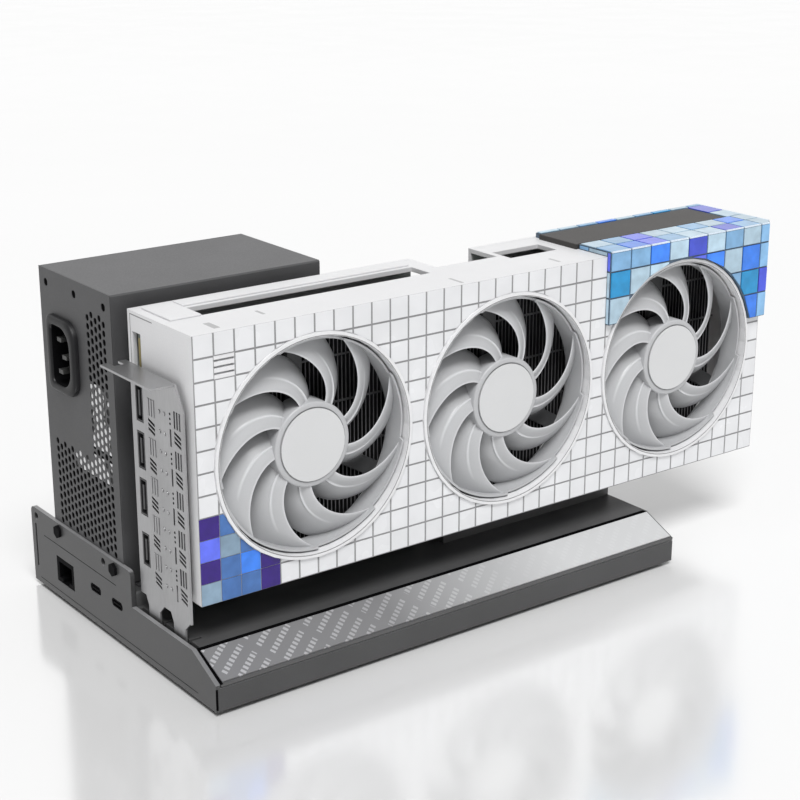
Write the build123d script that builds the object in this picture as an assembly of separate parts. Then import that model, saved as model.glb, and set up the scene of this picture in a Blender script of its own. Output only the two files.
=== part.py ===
from build123d import *
import os
from math import cos, floor, radians, sin, sqrt

# Open dock for a desktop graphics card: a flat base with a card slot, the card and its power supply.
# Sizes are in millimetres. X runs along the card, Y from front to back, Z up from the table.

# Dock shell
dock_length = 248.0
dock_depth = 160.0
tray_sheet = 2.0
lip_top = 12.0
slope_foot = 13.5
slope_depth = 17.7
deck_top = 21.3
raised_top = 28.0
raised_front = 67.0
raised_chamfer = 0.7
block_left = 146.5
block_front = 44.3
cover_wall = 1.8
cover_gap = 0.4
trim_thickness = 0.5
trim_margin = 1.0
plate_reveal = 0.8
plate_step = 66.5
plate_top = 38.0
plate_corner = 2.5
plate_slit_width = 1.4
plate_slit_height = 21.0
plate_slit_inset = 4.0

# Feet and cover screws
foot_height = 2.0
foot_length = 40.0
foot_width = 9.0
foot_bevel = 3.0
foot_inset = 24.0
cover_screw_inset = 12.0
cover_screw_radius = 1.5
cover_screw_reach = 8.0
screw_head_height = 1.2
screw_head_ratio = 1.9
screw_sides = 8
hex_sides = 6
screw_clearance = 0.2
boss_radius = 3.2

# Main board and what stands on it
board_thickness = 1.6
board_left = 8.0
board_end_gap = 14.0
board_front = 24.0
board_back_gap = 17.0
board_edge_gap = 0.6
standoff_radius = 2.6
standoff_inset = 4.0
chip_size = 21.0
chip_height = 1.4
sink_size = 36.0
sink_height = 7.5
sink_base = 2.0
sink_fin = 1.4
sink_fin_count = 7
controller_x = 90.0
controller_y = 104.0
m2_width = 22.0
m2_depth = 8.6
m2_height = 4.2
m2_wall = 0.8
m2_from_end = 52.0
m2_post_inset = 2.7
m2_card_length = 80.0
m2_post_radius = 2.6

# Card slot and its latch
slot_left = 45.9
slot_front = 57.3
slot_width = 7.5
slot_length = 89.0
slot_height = 11.25
slot_groove_floor = 3.9
slot_above_deck = 5.0
slot_key_from_end = 14.0
slot_key_width = 1.5
slot_end_wall = 2.2
slot_notch_count = 7
slot_notch_width = 4.0
slot_notch_depth = 0.7
slot_notch_foot = 1.6
ear_length = 6.4
ear_wall = 1.3
ear_height = 8.0
latch_pin_radius = 0.9
latch_pin_clearance = 0.08
latch_pin_height = 2.4
latch_side_gap = 0.3
latch_thickness = 3.4
latch_nose = 1.0
latch_nose_height = 1.2
latch_top_gap = 0.6

# Ports in the side plate
jack_width = 16.0
jack_height = 11.6
jack_depth = 18.0
jack_from_back = 32.0
jack_z = 15.6
jack_mouth_width = 12.2
jack_mouth_height = 7.6
jack_key_width = 6.4
jack_key_height = 1.8
jack_mouth_depth = 13.0
usb_width = 9.0
usb_height = 3.3
usb_wall = 0.4
usb_depth = 8.0
usb_shell_length = 12.0
usb_bevel = 1.1
usb_front_y = 79.7
usb_rear_y = 99.0
usb_z = 18.6
usb_tongue_width = 6.6
usb_tongue_height = 0.8
port_gap = 0.25

# Header for the supply's main lead
header_width = 52.2
header_height = 9.6
header_depth = 12.8
header_wall = 0.9
header_from_end = 58.0

# Graphics card
tile = 9.2
tile_column_count = 34
tile_row_count = 12
card_left = 6.0
card_bottom = 38.3
shroud_wall = 2.0
card_depth = 50.0
backplate_thickness = 1.8
pcb_thickness = 1.6
pcb_behind_face = 42.0
pcb_left_gap = 0.6
pcb_length = 240.0
pcb_top_gap = 6.0
pcb_above_slot = 1.0
pcb_above_block = 1.5
finger_fit = 0.15
finger_end_fit = 0.4
hook_length = 2.4
hook_reach = 5.0
hook_gap = 1.2
hook_notch = 1.0

# Card fans
fan_pitch_tile_count = 11
fan_first_tile_count = 6
fan_opening = 45.6
fan_rim = 1.8
fan_rim_proud = 1.2
fan_opening_sides = 40
duct_depth = 14.6
blade_count = 9
blade_thickness = 1.3
blade_camber = 1.0
blade_span_count = 4
blade_strip_count = 2
blade_pitch_angles = (43.0, 21.0)
blade_chords = (14.0, 28.5)
blade_sweep_angle = 42.0
blade_sweep_exponent = 1.4
blade_first_angle = 11.0
rotor_tip_gap = 0.8
rotor_back_gap = 1.2
hub_radius = 18.0
hub_height = 11.0
hub_sides = 36
blade_root_depth = 0.8
hub_cap_radius = 15.3
hub_cap_thickness = 0.6
hub_cap_sides = 36
shaft_radius = 1.5
shaft_clearance = 0.06
shaft_grip = 7.0
shaft_end_gap = 0.6
motor_radius = 16.5
motor_plate = 2.5
motor_arm_count = 3
motor_arm_width = 7.0

# Card heatsink
fin_pitch = 7.4
fin_thickness = 1.2
fin_depth = 11.0
fin_base = 2.0
fin_end_gap = 10.0
fin_side_gap = 3.0
fin_behind_motor = 0.4
pipe_count = 3
pipe_width = 9.0
pipe_bevel = 1.2
pipe_depth = 4.0
pipe_pitch = 20.0
cold_plate_size = 62.0
cold_plate_thickness = 3.0
gpu_size = 36.0

# Card top and left side openings, measured from the card's left end and from its face
top_open_front = 24.0
top_open_back = 37.0
top_open_first = (19.0, 131.0)
power_bay = (139.0, 173.0)
power_bay_front = 30.0
top_open_second = (176.0, 203.0)
bottom_open_front = 14.0
bottom_open_side = 8.0
side_open_front = 7.0
side_notch_front = 40.0
side_notch_back = 46.5
side_notch_top = 102.0
louvre_count = 3
louvre_height = 0.9
louvre_pitch = 2.6
louvre_first_drop = 1.6
power_socket_width = 24.0
power_socket_drop = 6.0
power_socket_height = 13.0
power_socket_depth = 9.5
power_socket_cell_count = 4
power_socket_cell = 3.4
power_socket_cell_depth = 9.0

# Tiled corner cap and the dark bar in its top
cap_start_tile_count = 23
cap_skin = 2.2
cap_past_end = 4.6
cap_drop_left = 31.0
cap_drop_right = 43.0
cap_end_chamfer = 3.0
cap_rim_gap = 0.4
bar_from_left = 210.0
bar_to_left = 306.0
bar_front = 19.0
bar_back = 44.0
bar_height = 2.4
bar_gap = 0.3

# Card bracket
bracket_sheet = 0.9
bracket_x = 3.0
bracket_front = 3.5
bracket_back = 44.2
bracket_drop = 8.4
bracket_above_ports = 14.8
bracket_corner_run = 5.5
bracket_corner_drop = 10.5
tab_length = 11.4
tab_front = 9.0
tab_back = 49.0
tab_notch_width = 4.4
tab_notch_depth = 5.0
tongue_width = 9.0
tongue_tip_drop = 28.5
tongue_neck = 4.0
tongue_slot_pitch = 20.32
tongue_behind_face = 33.4
tongue_gap_width = 2.6
tongue_mark_length = 5.0
tongue_mark_width = 1.6
vent_unit_count = 5
vent_unit_height = 16.4
vent_top = 79.0
vent_bar_count = 3
vent_bar_long = 7.2
vent_bar_wide = 5.2
vent_bar_width = 1.2
vent_bar_pitch = 2.0
vent_bar_lean = 1.6
vent_outer_column = 5.6
vent_single_column = 13.0
vent_inner_column = 26.0
dp_pitch = 20.0
dp_first_rise = 75.2
dp_length = 15.4
hdmi_rise = 12.4
hdmi_length = 14.0
port_height = 5.4
port_shell = 0.6
port_body_length = 15.0
port_tongue = 1.2
port_flange = 0.8

# Backplate
plate_window_from_right = 96.0
plate_window_width = 66.0
plate_window_rise = 22.0
plate_slot_count = 5
plate_slot_height = 7.0
plate_slot_pitch = 13.0

# Power supply in the compact desktop size
psu_height = 125.0
psu_width = 63.5
psu_mid_y = 106.75
psu_sheet = 1.2
psu_chamfer = 0.6
psu_hole_edge = 6.0
psu_hole_radius = 1.8
wide_hole_pitch = 64.2
wide_hole_back_edge = 5.2
psu_screw_radius = 1.6
psu_screw_reach = 3.6
inlet_height = 30.0
inlet_width = 22.0
inlet_flange = 3.2
inlet_flange_margin = 1.5
inlet_flange_bevel = 5.0
inlet_body_depth = 16.6
inlet_mouth_height = 24.0
inlet_mouth_width = 16.0
inlet_mouth_depth = 16.6
inlet_mouth_bevel = 4.5
inlet_from_back = 21.0
inlet_from_top = 35.0
pin_length = 11.0
pin_thickness = 2.0
pin_width = 4.0
pin_spread = 7.0
pin_offset = 4.0
vent_hole_width = 4.2
vent_hole_height = 7.0
vent_hole_lean = 1.4
vent_pitch_y = 8.6
vent_pitch_z = 6.8
vent_margin = 4.2
vent_low_rise = 7.0
vent_wide_rise = 50.0
vent_high_drop = 11.0
vent_column_width = 17.5

# Inside the supply
psu_fan_size = 80.0
psu_fan_wall = 3.0
psu_fan_depth = 15.0
psu_fan_hub = 14.0
psu_fan_blade_count = 5
psu_fan_back = 2.5
psu_fan_arm = 5.0
psu_fan_rise = 62.5
psu_fan_pitch_angle = 34.0
psu_fan_side_gap = 1.2
psu_fan_inlet_gap = 1.0
grille_slot_count = 9
grille_slot = 4.8
grille_bar = 2.8
psu_board_gap = 4.0
psu_board_thickness = 1.6
psu_board_margin = 5.0
psu_rail_width = 5.0
transformer_size = (30.0, 24.0, 34.0)
transformer_rise = 70.0
bobbin_length = 39.0
bobbin_width = 20.4
bobbin_height = 19.0
bobbin_bevel = 6.8
capacitor_radius = 11.0
capacitor_sides = 16
capacitor_height = 28.0
capacitor_rise = 26.0
psu_sink_length = 58.0
psu_sink_height = 24.0
psu_sink_thickness = 3.0
psu_sink_fin = 1.5
psu_sink_fin_rise = 9.0
psu_sink_fin_count = 6
psu_sink_rise = 104.0
pad_thickness = 1.0
pad_recess = 0.8
pad_margin = 4.0
pad_past_supply = 8.4
socket_row_count = 4
socket_row_pitch = 22.0
socket_width = 24.0
socket_height = 9.0
socket_depth = 8.0
socket_wall = 1.0
socket_lip = 2.0

# Levels and places that follow from the sizes above
floor_top = foot_height + tray_sheet
cover_left = tray_sheet + cover_gap
board_right = dock_length - board_end_gap
board_back = dock_depth - board_back_gap
m2_x = dock_length - m2_from_end
m2_post_y = board_back - m2_post_inset
m2_y = m2_post_y - m2_card_length - m2_depth / 2
jack_y = dock_depth - jack_from_back
header_x = dock_length - header_from_end
cover_bottom = lip_top + cover_gap
slot_back = slot_front + slot_width
slot_right = slot_left + slot_length
slot_top = deck_top + slot_above_deck
board_top = slot_top - slot_height
board_bottom = board_top - board_thickness
pcb_y = slot_front + slot_width / 2
face_y = pcb_y - pcb_behind_face
card_back = face_y + card_depth
shroud_back = card_back - backplate_thickness
card_right = card_left + tile * tile_column_count
card_top = card_bottom + tile * tile_row_count
fan_z = card_bottom + tile * tile_row_count / 2
fan_xs = [card_left + tile * (fan_first_tile_count + i * fan_pitch_tile_count) for i in range(3)]
bracket_rise = dp_first_rise + bracket_above_ports
pcb_front = pcb_y - pcb_thickness / 2
pcb_back = pcb_y + pcb_thickness / 2
pcb_edge = slot_top + pcb_above_slot
finger_tip = board_top + slot_groove_floor
duct_back = face_y + duct_depth
motor_back = duct_back + motor_plate
rotor_back = duct_back - rotor_back_gap
fin_front = motor_back + fin_behind_motor
fin_back = fin_front + fin_depth + fin_base
pipe_back = fin_back + pipe_depth
cold_back = pipe_back + cold_plate_thickness
rotor_tip = fan_opening - rotor_tip_gap
ear_right = slot_right + ear_length
latch_pin_x = slot_right + ear_length / 2
latch_pin_z = board_top + latch_pin_height
hook_left = slot_right + finger_end_fit
cap_left = card_left + tile * cap_start_tile_count
cap_right = card_right + cap_past_end
psu_left = tray_sheet
psu_fan_left = psu_left + inlet_body_depth + psu_fan_inlet_gap
psu_fan_x = psu_fan_left + psu_fan_size / 2
psu_fan_opening = psu_fan_size / 2 - psu_fan_wall
psu_right = psu_fan_left + psu_fan_size + psu_fan_side_gap + psu_sheet
psu_front = psu_mid_y - psu_width / 2
psu_back = psu_mid_y + psu_width / 2
psu_bottom = raised_top - pad_recess + pad_thickness
psu_top = psu_bottom + psu_height
psu_board_front = psu_front + psu_sheet + psu_board_gap
psu_board_back = psu_board_front + psu_board_thickness
psu_fan_front = psu_back - psu_sheet - psu_fan_depth
psu_mid_x = (psu_left + psu_right) / 2
psu_fan_z = psu_bottom + psu_fan_rise
plate_hole_z = psu_bottom + psu_hole_edge
inlet_y = psu_back - inlet_from_back
inlet_z = psu_top - inlet_from_top

# The frame's origin: middle of the footprint, at table level
tab_left = bracket_x + bracket_sheet - tab_length
middle_x = (tab_left + cap_right) / 2
middle_y = dock_depth / 2


def box_between(x0, x1, y0, y1, z0, z1):
    """Block between two opposite corners."""
    return Pos((x0 + x1) / 2, (y0 + y1) / 2, (z0 + z1) / 2) * Box(x1 - x0, y1 - y0, z1 - z0)


def rect(u0, u1, v0, v1):
    """Flat rectangle between two opposite corners."""
    return Pos((u0 + u1) / 2, (v0 + v1) / 2) * Rectangle(u1 - u0, v1 - v0)


def disc(u, v, radius):
    return Pos(u, v) * Circle(radius)


def fan_hole(u, v, radius):
    """Many-sided opening for a fan, with its flats on the radius."""
    return Pos(u, v) * RegularPolygon(radius, fan_opening_sides, major_radius=False)


def polygon(*points):
    return make_face(Polyline(*points, close=True))


def slab_x(outline, x0, x1):
    """A Y-Z outline given depth from x0 to x1."""
    return extrude(Plane.YZ.offset(x0) * outline, amount=x1 - x0, dir=(1, 0, 0))


def slab_y(outline, y0, y1):
    """An X-Z outline given depth from y0 to y1."""
    return extrude(Plane.XZ.offset(-y0) * outline, amount=y1 - y0, dir=(0, 1, 0))


def slab_z(outline, z0, z1):
    """An X-Y outline given height from z0 to z1."""
    return extrude(Plane.XY.offset(z0) * outline, amount=z1 - z0, dir=(0, 0, 1))


def rounded_at(outline, corners, radius):
    """Rounds the outline's corners that lie at the given points."""
    picked = [outline.vertices().sort_by_distance((u, v, 0))[0] for u, v in corners]
    return fillet(picked, radius)


def facet_disc(u, v, radius):
    """Small round hole or shank with few sides."""
    return Pos(u, v) * RegularPolygon(radius, screw_sides)


def screw(reach, radius):
    """Hex-head screw, head up, with the underside of its head at height zero."""
    head = slab_z(RegularPolygon(radius * screw_head_ratio, hex_sides), 0, screw_head_height)
    return head + slab_z(RegularPolygon(radius, screw_sides), -reach, 0)


def corner_points(u0, u1, v0, v1, inset):
    return [(u, v) for u in (u0 + inset, u1 - inset) for v in (v0 + inset, v1 - inset)]


def group(shapes):
    """Several separate solids in one node."""
    return Compound(children=[shape.solid() for shape in shapes])


# Dock shell

def plate_holes():
    """Screw holes in the side plate: the wide supply's pair and the compact supply's pair."""
    wide_back = dock_depth - wide_hole_back_edge
    holes = [disc(y, plate_hole_z, psu_hole_radius) for y in (wide_back, wide_back - wide_hole_pitch)]
    compact = (psu_front + psu_hole_edge, psu_back - psu_hole_edge)
    return holes + [facet_disc(y, plate_hole_z, psu_hole_radius) for y in compact]


def side_plate():
    deck_edge = deck_top + plate_reveal
    outline = polygon(
        (0, foot_height),
        (dock_depth, foot_height),
        (dock_depth, plate_top),
        (plate_step, plate_top),
        (plate_step, deck_edge),
        (slope_depth, deck_edge),
        (0, slope_foot),
    )
    outline = rounded_at(outline, [(dock_depth, plate_top), (plate_step, plate_top)], plate_corner)
    outline -= plate_holes()
    outline -= Pos(jack_y, jack_z) * Rectangle(jack_width + 2 * port_gap, jack_height + 2 * port_gap)
    for y in (usb_front_y, usb_rear_y):
        outline -= Pos(y, usb_z) * usb_outline(port_gap)
    slit_middle = (foot_height + plate_top) / 2
    slit = Rectangle(plate_slit_width, plate_slit_height)
    outline -= Pos(dock_depth - plate_slit_inset, slit_middle) * slit
    return slab_x(outline, 0, tray_sheet)


def cover_screw_places():
    return corner_points(0, dock_length, 0, dock_depth, cover_screw_inset)


def base_tray():
    """Folded tray: floor, side plate, front lip, back wall and end wall."""
    floor = rect(0, dock_length, 0, dock_depth)
    floor -= [facet_disc(x, y, cover_screw_radius + screw_clearance) for x, y in cover_screw_places()]
    tray = slab_z(floor, foot_height, floor_top) + side_plate()
    tray += box_between(0, dock_length, 0, tray_sheet, foot_height, lip_top)
    tray += box_between(0, dock_length, dock_depth - tray_sheet, dock_depth, foot_height, lip_top)
    tray += box_between(dock_length - tray_sheet, dock_length, 0, dock_depth, foot_height, lip_top)
    return tray


def cover_profile(bottom):
    """Front-to-back section of the cover's lower deck and slope."""
    return polygon(
        (0, bottom),
        (dock_depth, bottom),
        (dock_depth, deck_top),
        (slope_depth, deck_top),
        (0, slope_foot),
    )


def raised_outline(left):
    """Plan of the raised platform with the block that reaches forward beside the slot."""
    return polygon(
        (left, raised_front),
        (block_left, raised_front),
        (block_left, block_front),
        (dock_length, block_front),
        (dock_length, dock_depth),
        (left, dock_depth),
    )


def cover_hollow():
    low = offset(cover_profile(foot_height), amount=-cover_wall, kind=Kind.INTERSECTION)
    high = offset(raised_outline(0), amount=-cover_wall, kind=Kind.INTERSECTION)
    hollow = slab_x(low, 0, dock_length - cover_wall)
    return hollow + slab_z(high, lip_top, raised_top - cover_wall) + box_between(
        0, cover_left + cover_wall, raised_front + cover_wall, dock_depth - cover_wall, lip_top,
        raised_top - cover_wall)


def header_box(gap):
    return (header_x - header_width / 2 - gap, header_x + header_width / 2 + gap)


def cover_solid():
    """Outside of the cover before it is hollowed."""
    low = slab_x(cover_profile(cover_bottom), cover_left, dock_length)
    raised = slab_z(raised_outline(cover_left), deck_top - cover_wall, raised_top)
    return low + chamfer(raised.faces().sort_by(Axis.Z)[-1].edges(), raised_chamfer)


def cover_bosses(solid):
    """Screw bosses from the tray's floor up to the inside of the cover."""
    bosses = []
    for x, y in cover_screw_places():
        post = slab_z(facet_disc(x, y, boss_radius), floor_top, cover_bottom)
        post += slab_z(facet_disc(x, y, boss_radius), cover_bottom, raised_top) & solid
        bore = facet_disc(x, y, cover_screw_radius + screw_clearance)
        bosses.append(post - slab_z(bore, floor_top, floor_top + cover_screw_reach))
    return bosses


def top_cover():
    """Moulded cover: slope, lower deck and raised platform over one hollow."""
    solid = cover_solid()
    cover = solid - cover_hollow()
    cover += cover_bosses(solid)
    deck_low = deck_top - 2 * cover_wall
    deck_high = deck_top + cover_wall
    cover -= box_between(slot_left - cover_gap, block_left - cover_gap, slot_front - cover_gap,
                         slot_back + cover_gap, deck_low, deck_high)
    gap_right = tray_sheet + tongue_gap_width
    cover -= box_between(0, gap_right, slope_depth + trim_margin, raised_front - cover_wall, deck_low,
                         deck_high)
    for y in tongue_middles():
        front_edge = y - tongue_width / 2 - tongue_mark_width
        cover -= box_between(0, gap_right + tongue_mark_length, front_edge, front_edge + tongue_mark_width,
                             deck_low, deck_high)
    cover -= pad_block(raised_top - pad_recess, raised_top + pad_recess, cover_gap / 2)
    x0, x1 = header_box(port_gap)
    return cover - box_between(x0, x1, dock_depth - 2 * cover_wall, dock_depth + cover_wall, board_top,
                               board_top + header_height + port_gap)


def slope_trim():
    """Thin printed strip laid on the slope."""
    run = Vector(slope_depth, deck_top - slope_foot)
    along = run.normalized()
    out = Vector(-along.Y, along.X) * trim_thickness
    low = Vector(0, slope_foot) + along * trim_margin
    high = Vector(slope_depth, deck_top) - along * trim_margin
    corners = [(p.X, p.Y) for p in (low, high, high + out, low + out)]
    return slab_x(polygon(*corners), cover_left + trim_margin, dock_length - trim_margin)


def pad_block(z0, z1, gap):
    return box_between(cover_left + pad_margin - gap, psu_right + pad_past_supply + gap,
                       raised_front + pad_margin - gap, dock_depth - pad_margin + gap, z0, z1)


def psu_pad():
    return pad_block(raised_top - pad_recess, psu_bottom, 0)


def rubber_feet():
    """Four rubber bars under the tray, with bevelled ends."""
    bar = chamfer(Rectangle(foot_length, foot_width).vertices(), foot_bevel)
    xs = (foot_inset + foot_length / 2, dock_length - foot_inset - foot_length / 2)
    ys = (foot_inset, dock_depth - foot_inset)
    return group([slab_z(Pos(x, y) * bar, 0, foot_height) for x in xs for y in ys])


def cover_screws():
    shape = Rot(180, 0, 0) * screw(cover_screw_reach, cover_screw_radius)
    return group([Pos(x, y, foot_height) * shape for x, y in cover_screw_places()])


# Main board

def standoff_places():
    return corner_points(board_left, board_right, board_front, board_back, standoff_inset)


def main_board():
    outline = rect(board_left, board_right, board_front, board_back)
    half = jack_width / 2 + port_gap
    outline -= rect(0, jack_depth + port_gap, jack_y - half, jack_y + half)
    x0, x1 = header_box(port_gap)
    outline += rect(x0, x1, board_back, dock_depth - cover_wall - board_edge_gap)
    return slab_z(outline, board_bottom, board_top)


def board_standoffs():
    """Hexagonal posts between the tray's floor and the board."""
    post = RegularPolygon(standoff_radius, hex_sides)
    return group([slab_z(Pos(x, y) * post, floor_top, board_bottom) for x, y in standoff_places()])


def controller_chip():
    outline = Pos(controller_x, controller_y) * Rectangle(chip_size, chip_size)
    return slab_z(outline, board_top, board_top + chip_height)


def controller_heatsink():
    low = board_top + chip_height
    base = Pos(controller_x, controller_y) * Rectangle(sink_size, sink_size)
    sink = slab_z(base, low, low + sink_base)
    step = (sink_size - sink_fin) / (sink_fin_count - 1)
    for i in range(sink_fin_count):
        x = controller_x - sink_size / 2 + i * step
        sink += box_between(x, x + sink_fin, controller_y - sink_size / 2, controller_y + sink_size / 2, low,
                            low + sink_height)
    return sink


def m2_socket():
    """Edge socket for a small storage card, open towards the card."""
    body = box_between(m2_x - m2_width / 2, m2_x + m2_width / 2, m2_y, m2_y + m2_depth, board_top,
                       board_top + m2_height)
    mouth_low = board_top + m2_height / 2
    return body - box_between(m2_x - m2_width / 2 + m2_wall, m2_x + m2_width / 2 - m2_wall,
                              m2_y + m2_depth / 2, m2_y + m2_depth, mouth_low, mouth_low + pcb_thickness / 2)


def m2_standoff():
    post = Pos(m2_x, m2_post_y) * RegularPolygon(m2_post_radius, hex_sides)
    return slab_z(post, board_top, board_top + m2_height / 2)


def power_header():
    """Wide socket for the supply's main lead, open to the back round a tongue for its pins."""
    x0, x1 = header_box(0)
    back = dock_depth - cover_wall / 2
    middle = board_top + header_height / 2
    body = box_between(x0, x1, back - header_depth, back, board_top, board_top + header_height)
    mouth = rect(x0 + header_wall, x1 - header_wall, board_top + header_wall,
                 board_top + header_height - header_wall)
    mouth -= rect(x0 + 3 * header_wall, x1 - 3 * header_wall, middle - header_wall, middle + header_wall)
    return body - slab_y(mouth, back - header_depth + 2 * header_wall, back)


# Card slot

def slot_notches():
    """Row of upright notches that ribs one long side of the slot."""
    step = slot_length / (slot_notch_count + 1)
    return [
        Pos(slot_left + step * (i + 1), (board_top + slot_top) / 2)
        * Rectangle(slot_notch_width, slot_height - 2 * slot_notch_foot)
        for i in range(slot_notch_count)
    ]


def pcie_slot():
    slot = box_between(slot_left, slot_right, slot_front, slot_back, board_top, slot_top)
    groove_half = pcb_thickness / 2 + finger_fit
    groove_front = pcb_y - groove_half
    groove_back = pcb_y + groove_half
    groove = rect(slot_left + slot_end_wall, slot_right - slot_end_wall, groove_front, groove_back)
    key_x = slot_left + slot_key_from_end
    groove -= rect(key_x - slot_key_width / 2, key_x + slot_key_width / 2, groove_front, groove_back)
    slot -= slab_z(groove, finger_tip, slot_top)
    notches = Sketch() + slot_notches()
    slot -= slab_y(notches, slot_front, slot_front + slot_notch_depth)
    slot -= slab_y(notches, slot_back - slot_notch_depth, slot_back)
    ear = rect(slot_right, ear_right, board_top, board_top + ear_height)
    ear -= disc(latch_pin_x, latch_pin_z, latch_pin_radius + latch_pin_clearance)
    slot += slab_y(ear, slot_front, slot_front + ear_wall)
    slot += slab_y(ear, slot_back - ear_wall, slot_back)
    return slot


def hook_notch_levels():
    middle = pcb_edge - hook_reach / 2
    return (middle - latch_nose_height, middle + latch_nose_height)


def slot_latch():
    """Catch that turns on two pins between the slot's ears and holds the card's hook with its nose."""
    low, high = hook_notch_levels()
    gap = latch_nose_height / 2
    stem_left = hook_left + hook_length + latch_side_gap
    top = pcb_edge - latch_top_gap
    outline = polygon(
        (latch_pin_x - latch_pin_radius * 2, latch_pin_z - latch_pin_radius),
        (latch_pin_x + latch_pin_radius * 2, latch_pin_z - latch_pin_radius),
        (stem_left + latch_thickness, top),
        (stem_left, top),
        (stem_left, high - gap),
        (stem_left - latch_nose, high - gap),
        (stem_left - latch_nose, low + gap),
        (stem_left, low + gap),
        (stem_left, board_top + ear_height / 2),
    )
    latch = slab_y(outline, slot_front + ear_wall + latch_side_gap, slot_back - ear_wall - latch_side_gap)
    return latch + slab_y(disc(latch_pin_x, latch_pin_z, latch_pin_radius), slot_front, slot_back)


# Ports in the side plate

def rj45_jack():
    """Network jack with a stepped mouth for the plug and its catch."""
    outline = Pos(jack_y, jack_z) * Rectangle(jack_width, jack_height)
    jack = slab_x(outline, 0, jack_depth)
    mouth = Pos(jack_y, jack_z) * Rectangle(jack_mouth_width, jack_mouth_height)
    key_z = jack_z - jack_mouth_height / 2 - jack_key_height / 2
    mouth += Pos(jack_y, key_z) * Rectangle(jack_key_width, jack_key_height)
    return jack - slab_x(mouth, 0, jack_mouth_depth)


def usb_outline(gap):
    """Flat oval with bevelled ends, larger all round by the gap."""
    oval = Rectangle(usb_width + 2 * gap, usb_height + 2 * gap)
    return chamfer(oval.vertices(), usb_bevel)


def usb_c_port(y):
    """Flat-oval shell with a middle tongue, on a foot that stands on the board."""
    port = slab_x(Pos(y, usb_z) * usb_outline(0), 0, usb_shell_length)
    mouth = usb_outline(-usb_wall) - Rectangle(usb_tongue_width, usb_tongue_height)
    port -= slab_x(Pos(y, usb_z) * mouth, 0, usb_depth)
    half = usb_tongue_width / 2
    foot_top = usb_z - usb_height / 2 + usb_wall
    return port + box_between(board_left, usb_shell_length, y - half, y + half, board_top, foot_top)


# Graphics card body

def fan_rims(radius, y0, y1):
    return [slab_y(fan_hole(x, fan_z, radius), y0, y1) for x in fan_xs]


def shroud():
    """Card housing: face with three ducts, open at the back and along most of the bottom."""
    outline = rect(card_left, card_right, card_bottom, card_top)
    hollow = rect(card_left + shroud_wall, card_right - shroud_wall, card_bottom + shroud_wall,
                  card_top - shroud_wall)
    body = slab_y(outline, face_y, shroud_back) - slab_y(hollow, face_y + shroud_wall, shroud_back)
    body += fan_rims(fan_opening + fan_rim, face_y - fan_rim_proud, face_y)
    duct = RegularPolygon(fan_opening + fan_rim, screw_sides, major_radius=False)
    body += [slab_y(Pos(x, fan_z) * duct, face_y + shroud_wall, duct_back) for x in fan_xs]
    body -= fan_rims(fan_opening, face_y - fan_rim_proud, duct_back)
    roof = rect(card_left + top_open_first[0], card_left + top_open_first[1], face_y + top_open_front,
                face_y + top_open_back)
    roof += rect(card_left + top_open_second[0], card_left + top_open_second[1], face_y + top_open_front,
                 face_y + top_open_back)
    roof += rect(card_left + power_bay[0], card_left + power_bay[1], face_y + power_bay_front, shroud_back)
    body -= slab_z(roof, card_top - shroud_wall, card_top)
    under = rect(card_left + bottom_open_side, card_right - bottom_open_side, face_y + bottom_open_front,
                 shroud_back)
    under += rect(card_left, card_left + bottom_open_side, face_y + side_notch_front,
                  face_y + side_notch_back)
    body -= slab_z(under, card_bottom, card_bottom + shroud_wall)
    side = rect(face_y + side_open_front, face_y + side_notch_front, card_bottom + shroud_wall,
                card_bottom + bracket_rise - shroud_wall)
    side += rect(face_y + side_notch_front, face_y + side_notch_back, card_bottom,
                 card_bottom + side_notch_top)
    body -= slab_x(side, card_left, card_left + shroud_wall)
    for i in range(louvre_count):
        z = card_top - tile - louvre_first_drop - louvre_pitch * i
        body -= box_between(card_left + tile, card_left + 2 * tile, face_y, face_y + shroud_wall,
                            z - louvre_height, z)
    return body


def mosaic_cap():
    """Clear tiled shell over the top right corner, wrapping the face, the top and the end."""
    face = polygon(
        (cap_left, card_top + cap_skin),
        (cap_left, card_top - cap_drop_left),
        (fan_xs[2], card_top - cap_drop_left),
        (fan_xs[2], card_top - cap_drop_right),
        (cap_right, card_top - cap_drop_right),
        (cap_right, card_top + cap_skin),
    )
    cap = slab_y(face, face_y - cap_skin, shroud_back)
    end_edge = cap.edges().filter_by(Axis.Z).sort_by(Axis.X)[-2:].sort_by(Axis.Y)[0]
    cap = chamfer(end_edge, cap_end_chamfer)
    cap -= box_between(card_left, card_right, face_y, shroud_back, card_bottom, card_top)
    cap -= slab_y(fan_hole(fan_xs[2], fan_z, fan_opening + fan_rim + cap_rim_gap), face_y - cap_skin, face_y)
    window = rect(card_left + bar_from_left - bar_gap, card_left + bar_to_left + bar_gap,
                  face_y + bar_front - bar_gap, face_y + bar_back + bar_gap)
    return cap - slab_z(window, card_top, card_top + cap_skin)


def top_bar():
    outline = rect(card_left + bar_from_left, card_left + bar_to_left, face_y + bar_front, face_y + bar_back)
    bar = slab_z(outline, card_top, card_top + bar_height)
    return chamfer(bar.faces().sort_by(Axis.Z)[-1].edges(), bar_gap)


def backplate():
    """Stiff back cover with an open grille behind the last fan."""
    outline = rect(card_left, card_right, card_bottom, card_top)
    window_left = card_right - plate_window_from_right
    for i in range(plate_slot_count):
        z = card_bottom + plate_window_rise + i * plate_slot_pitch
        outline -= rect(window_left, window_left + plate_window_width, z, z + plate_slot_height)
    outline -= rect(card_left + power_bay[0], card_left + power_bay[1], card_top - power_socket_height,
                    card_top)
    return slab_y(outline, shroud_back, card_back)


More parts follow.
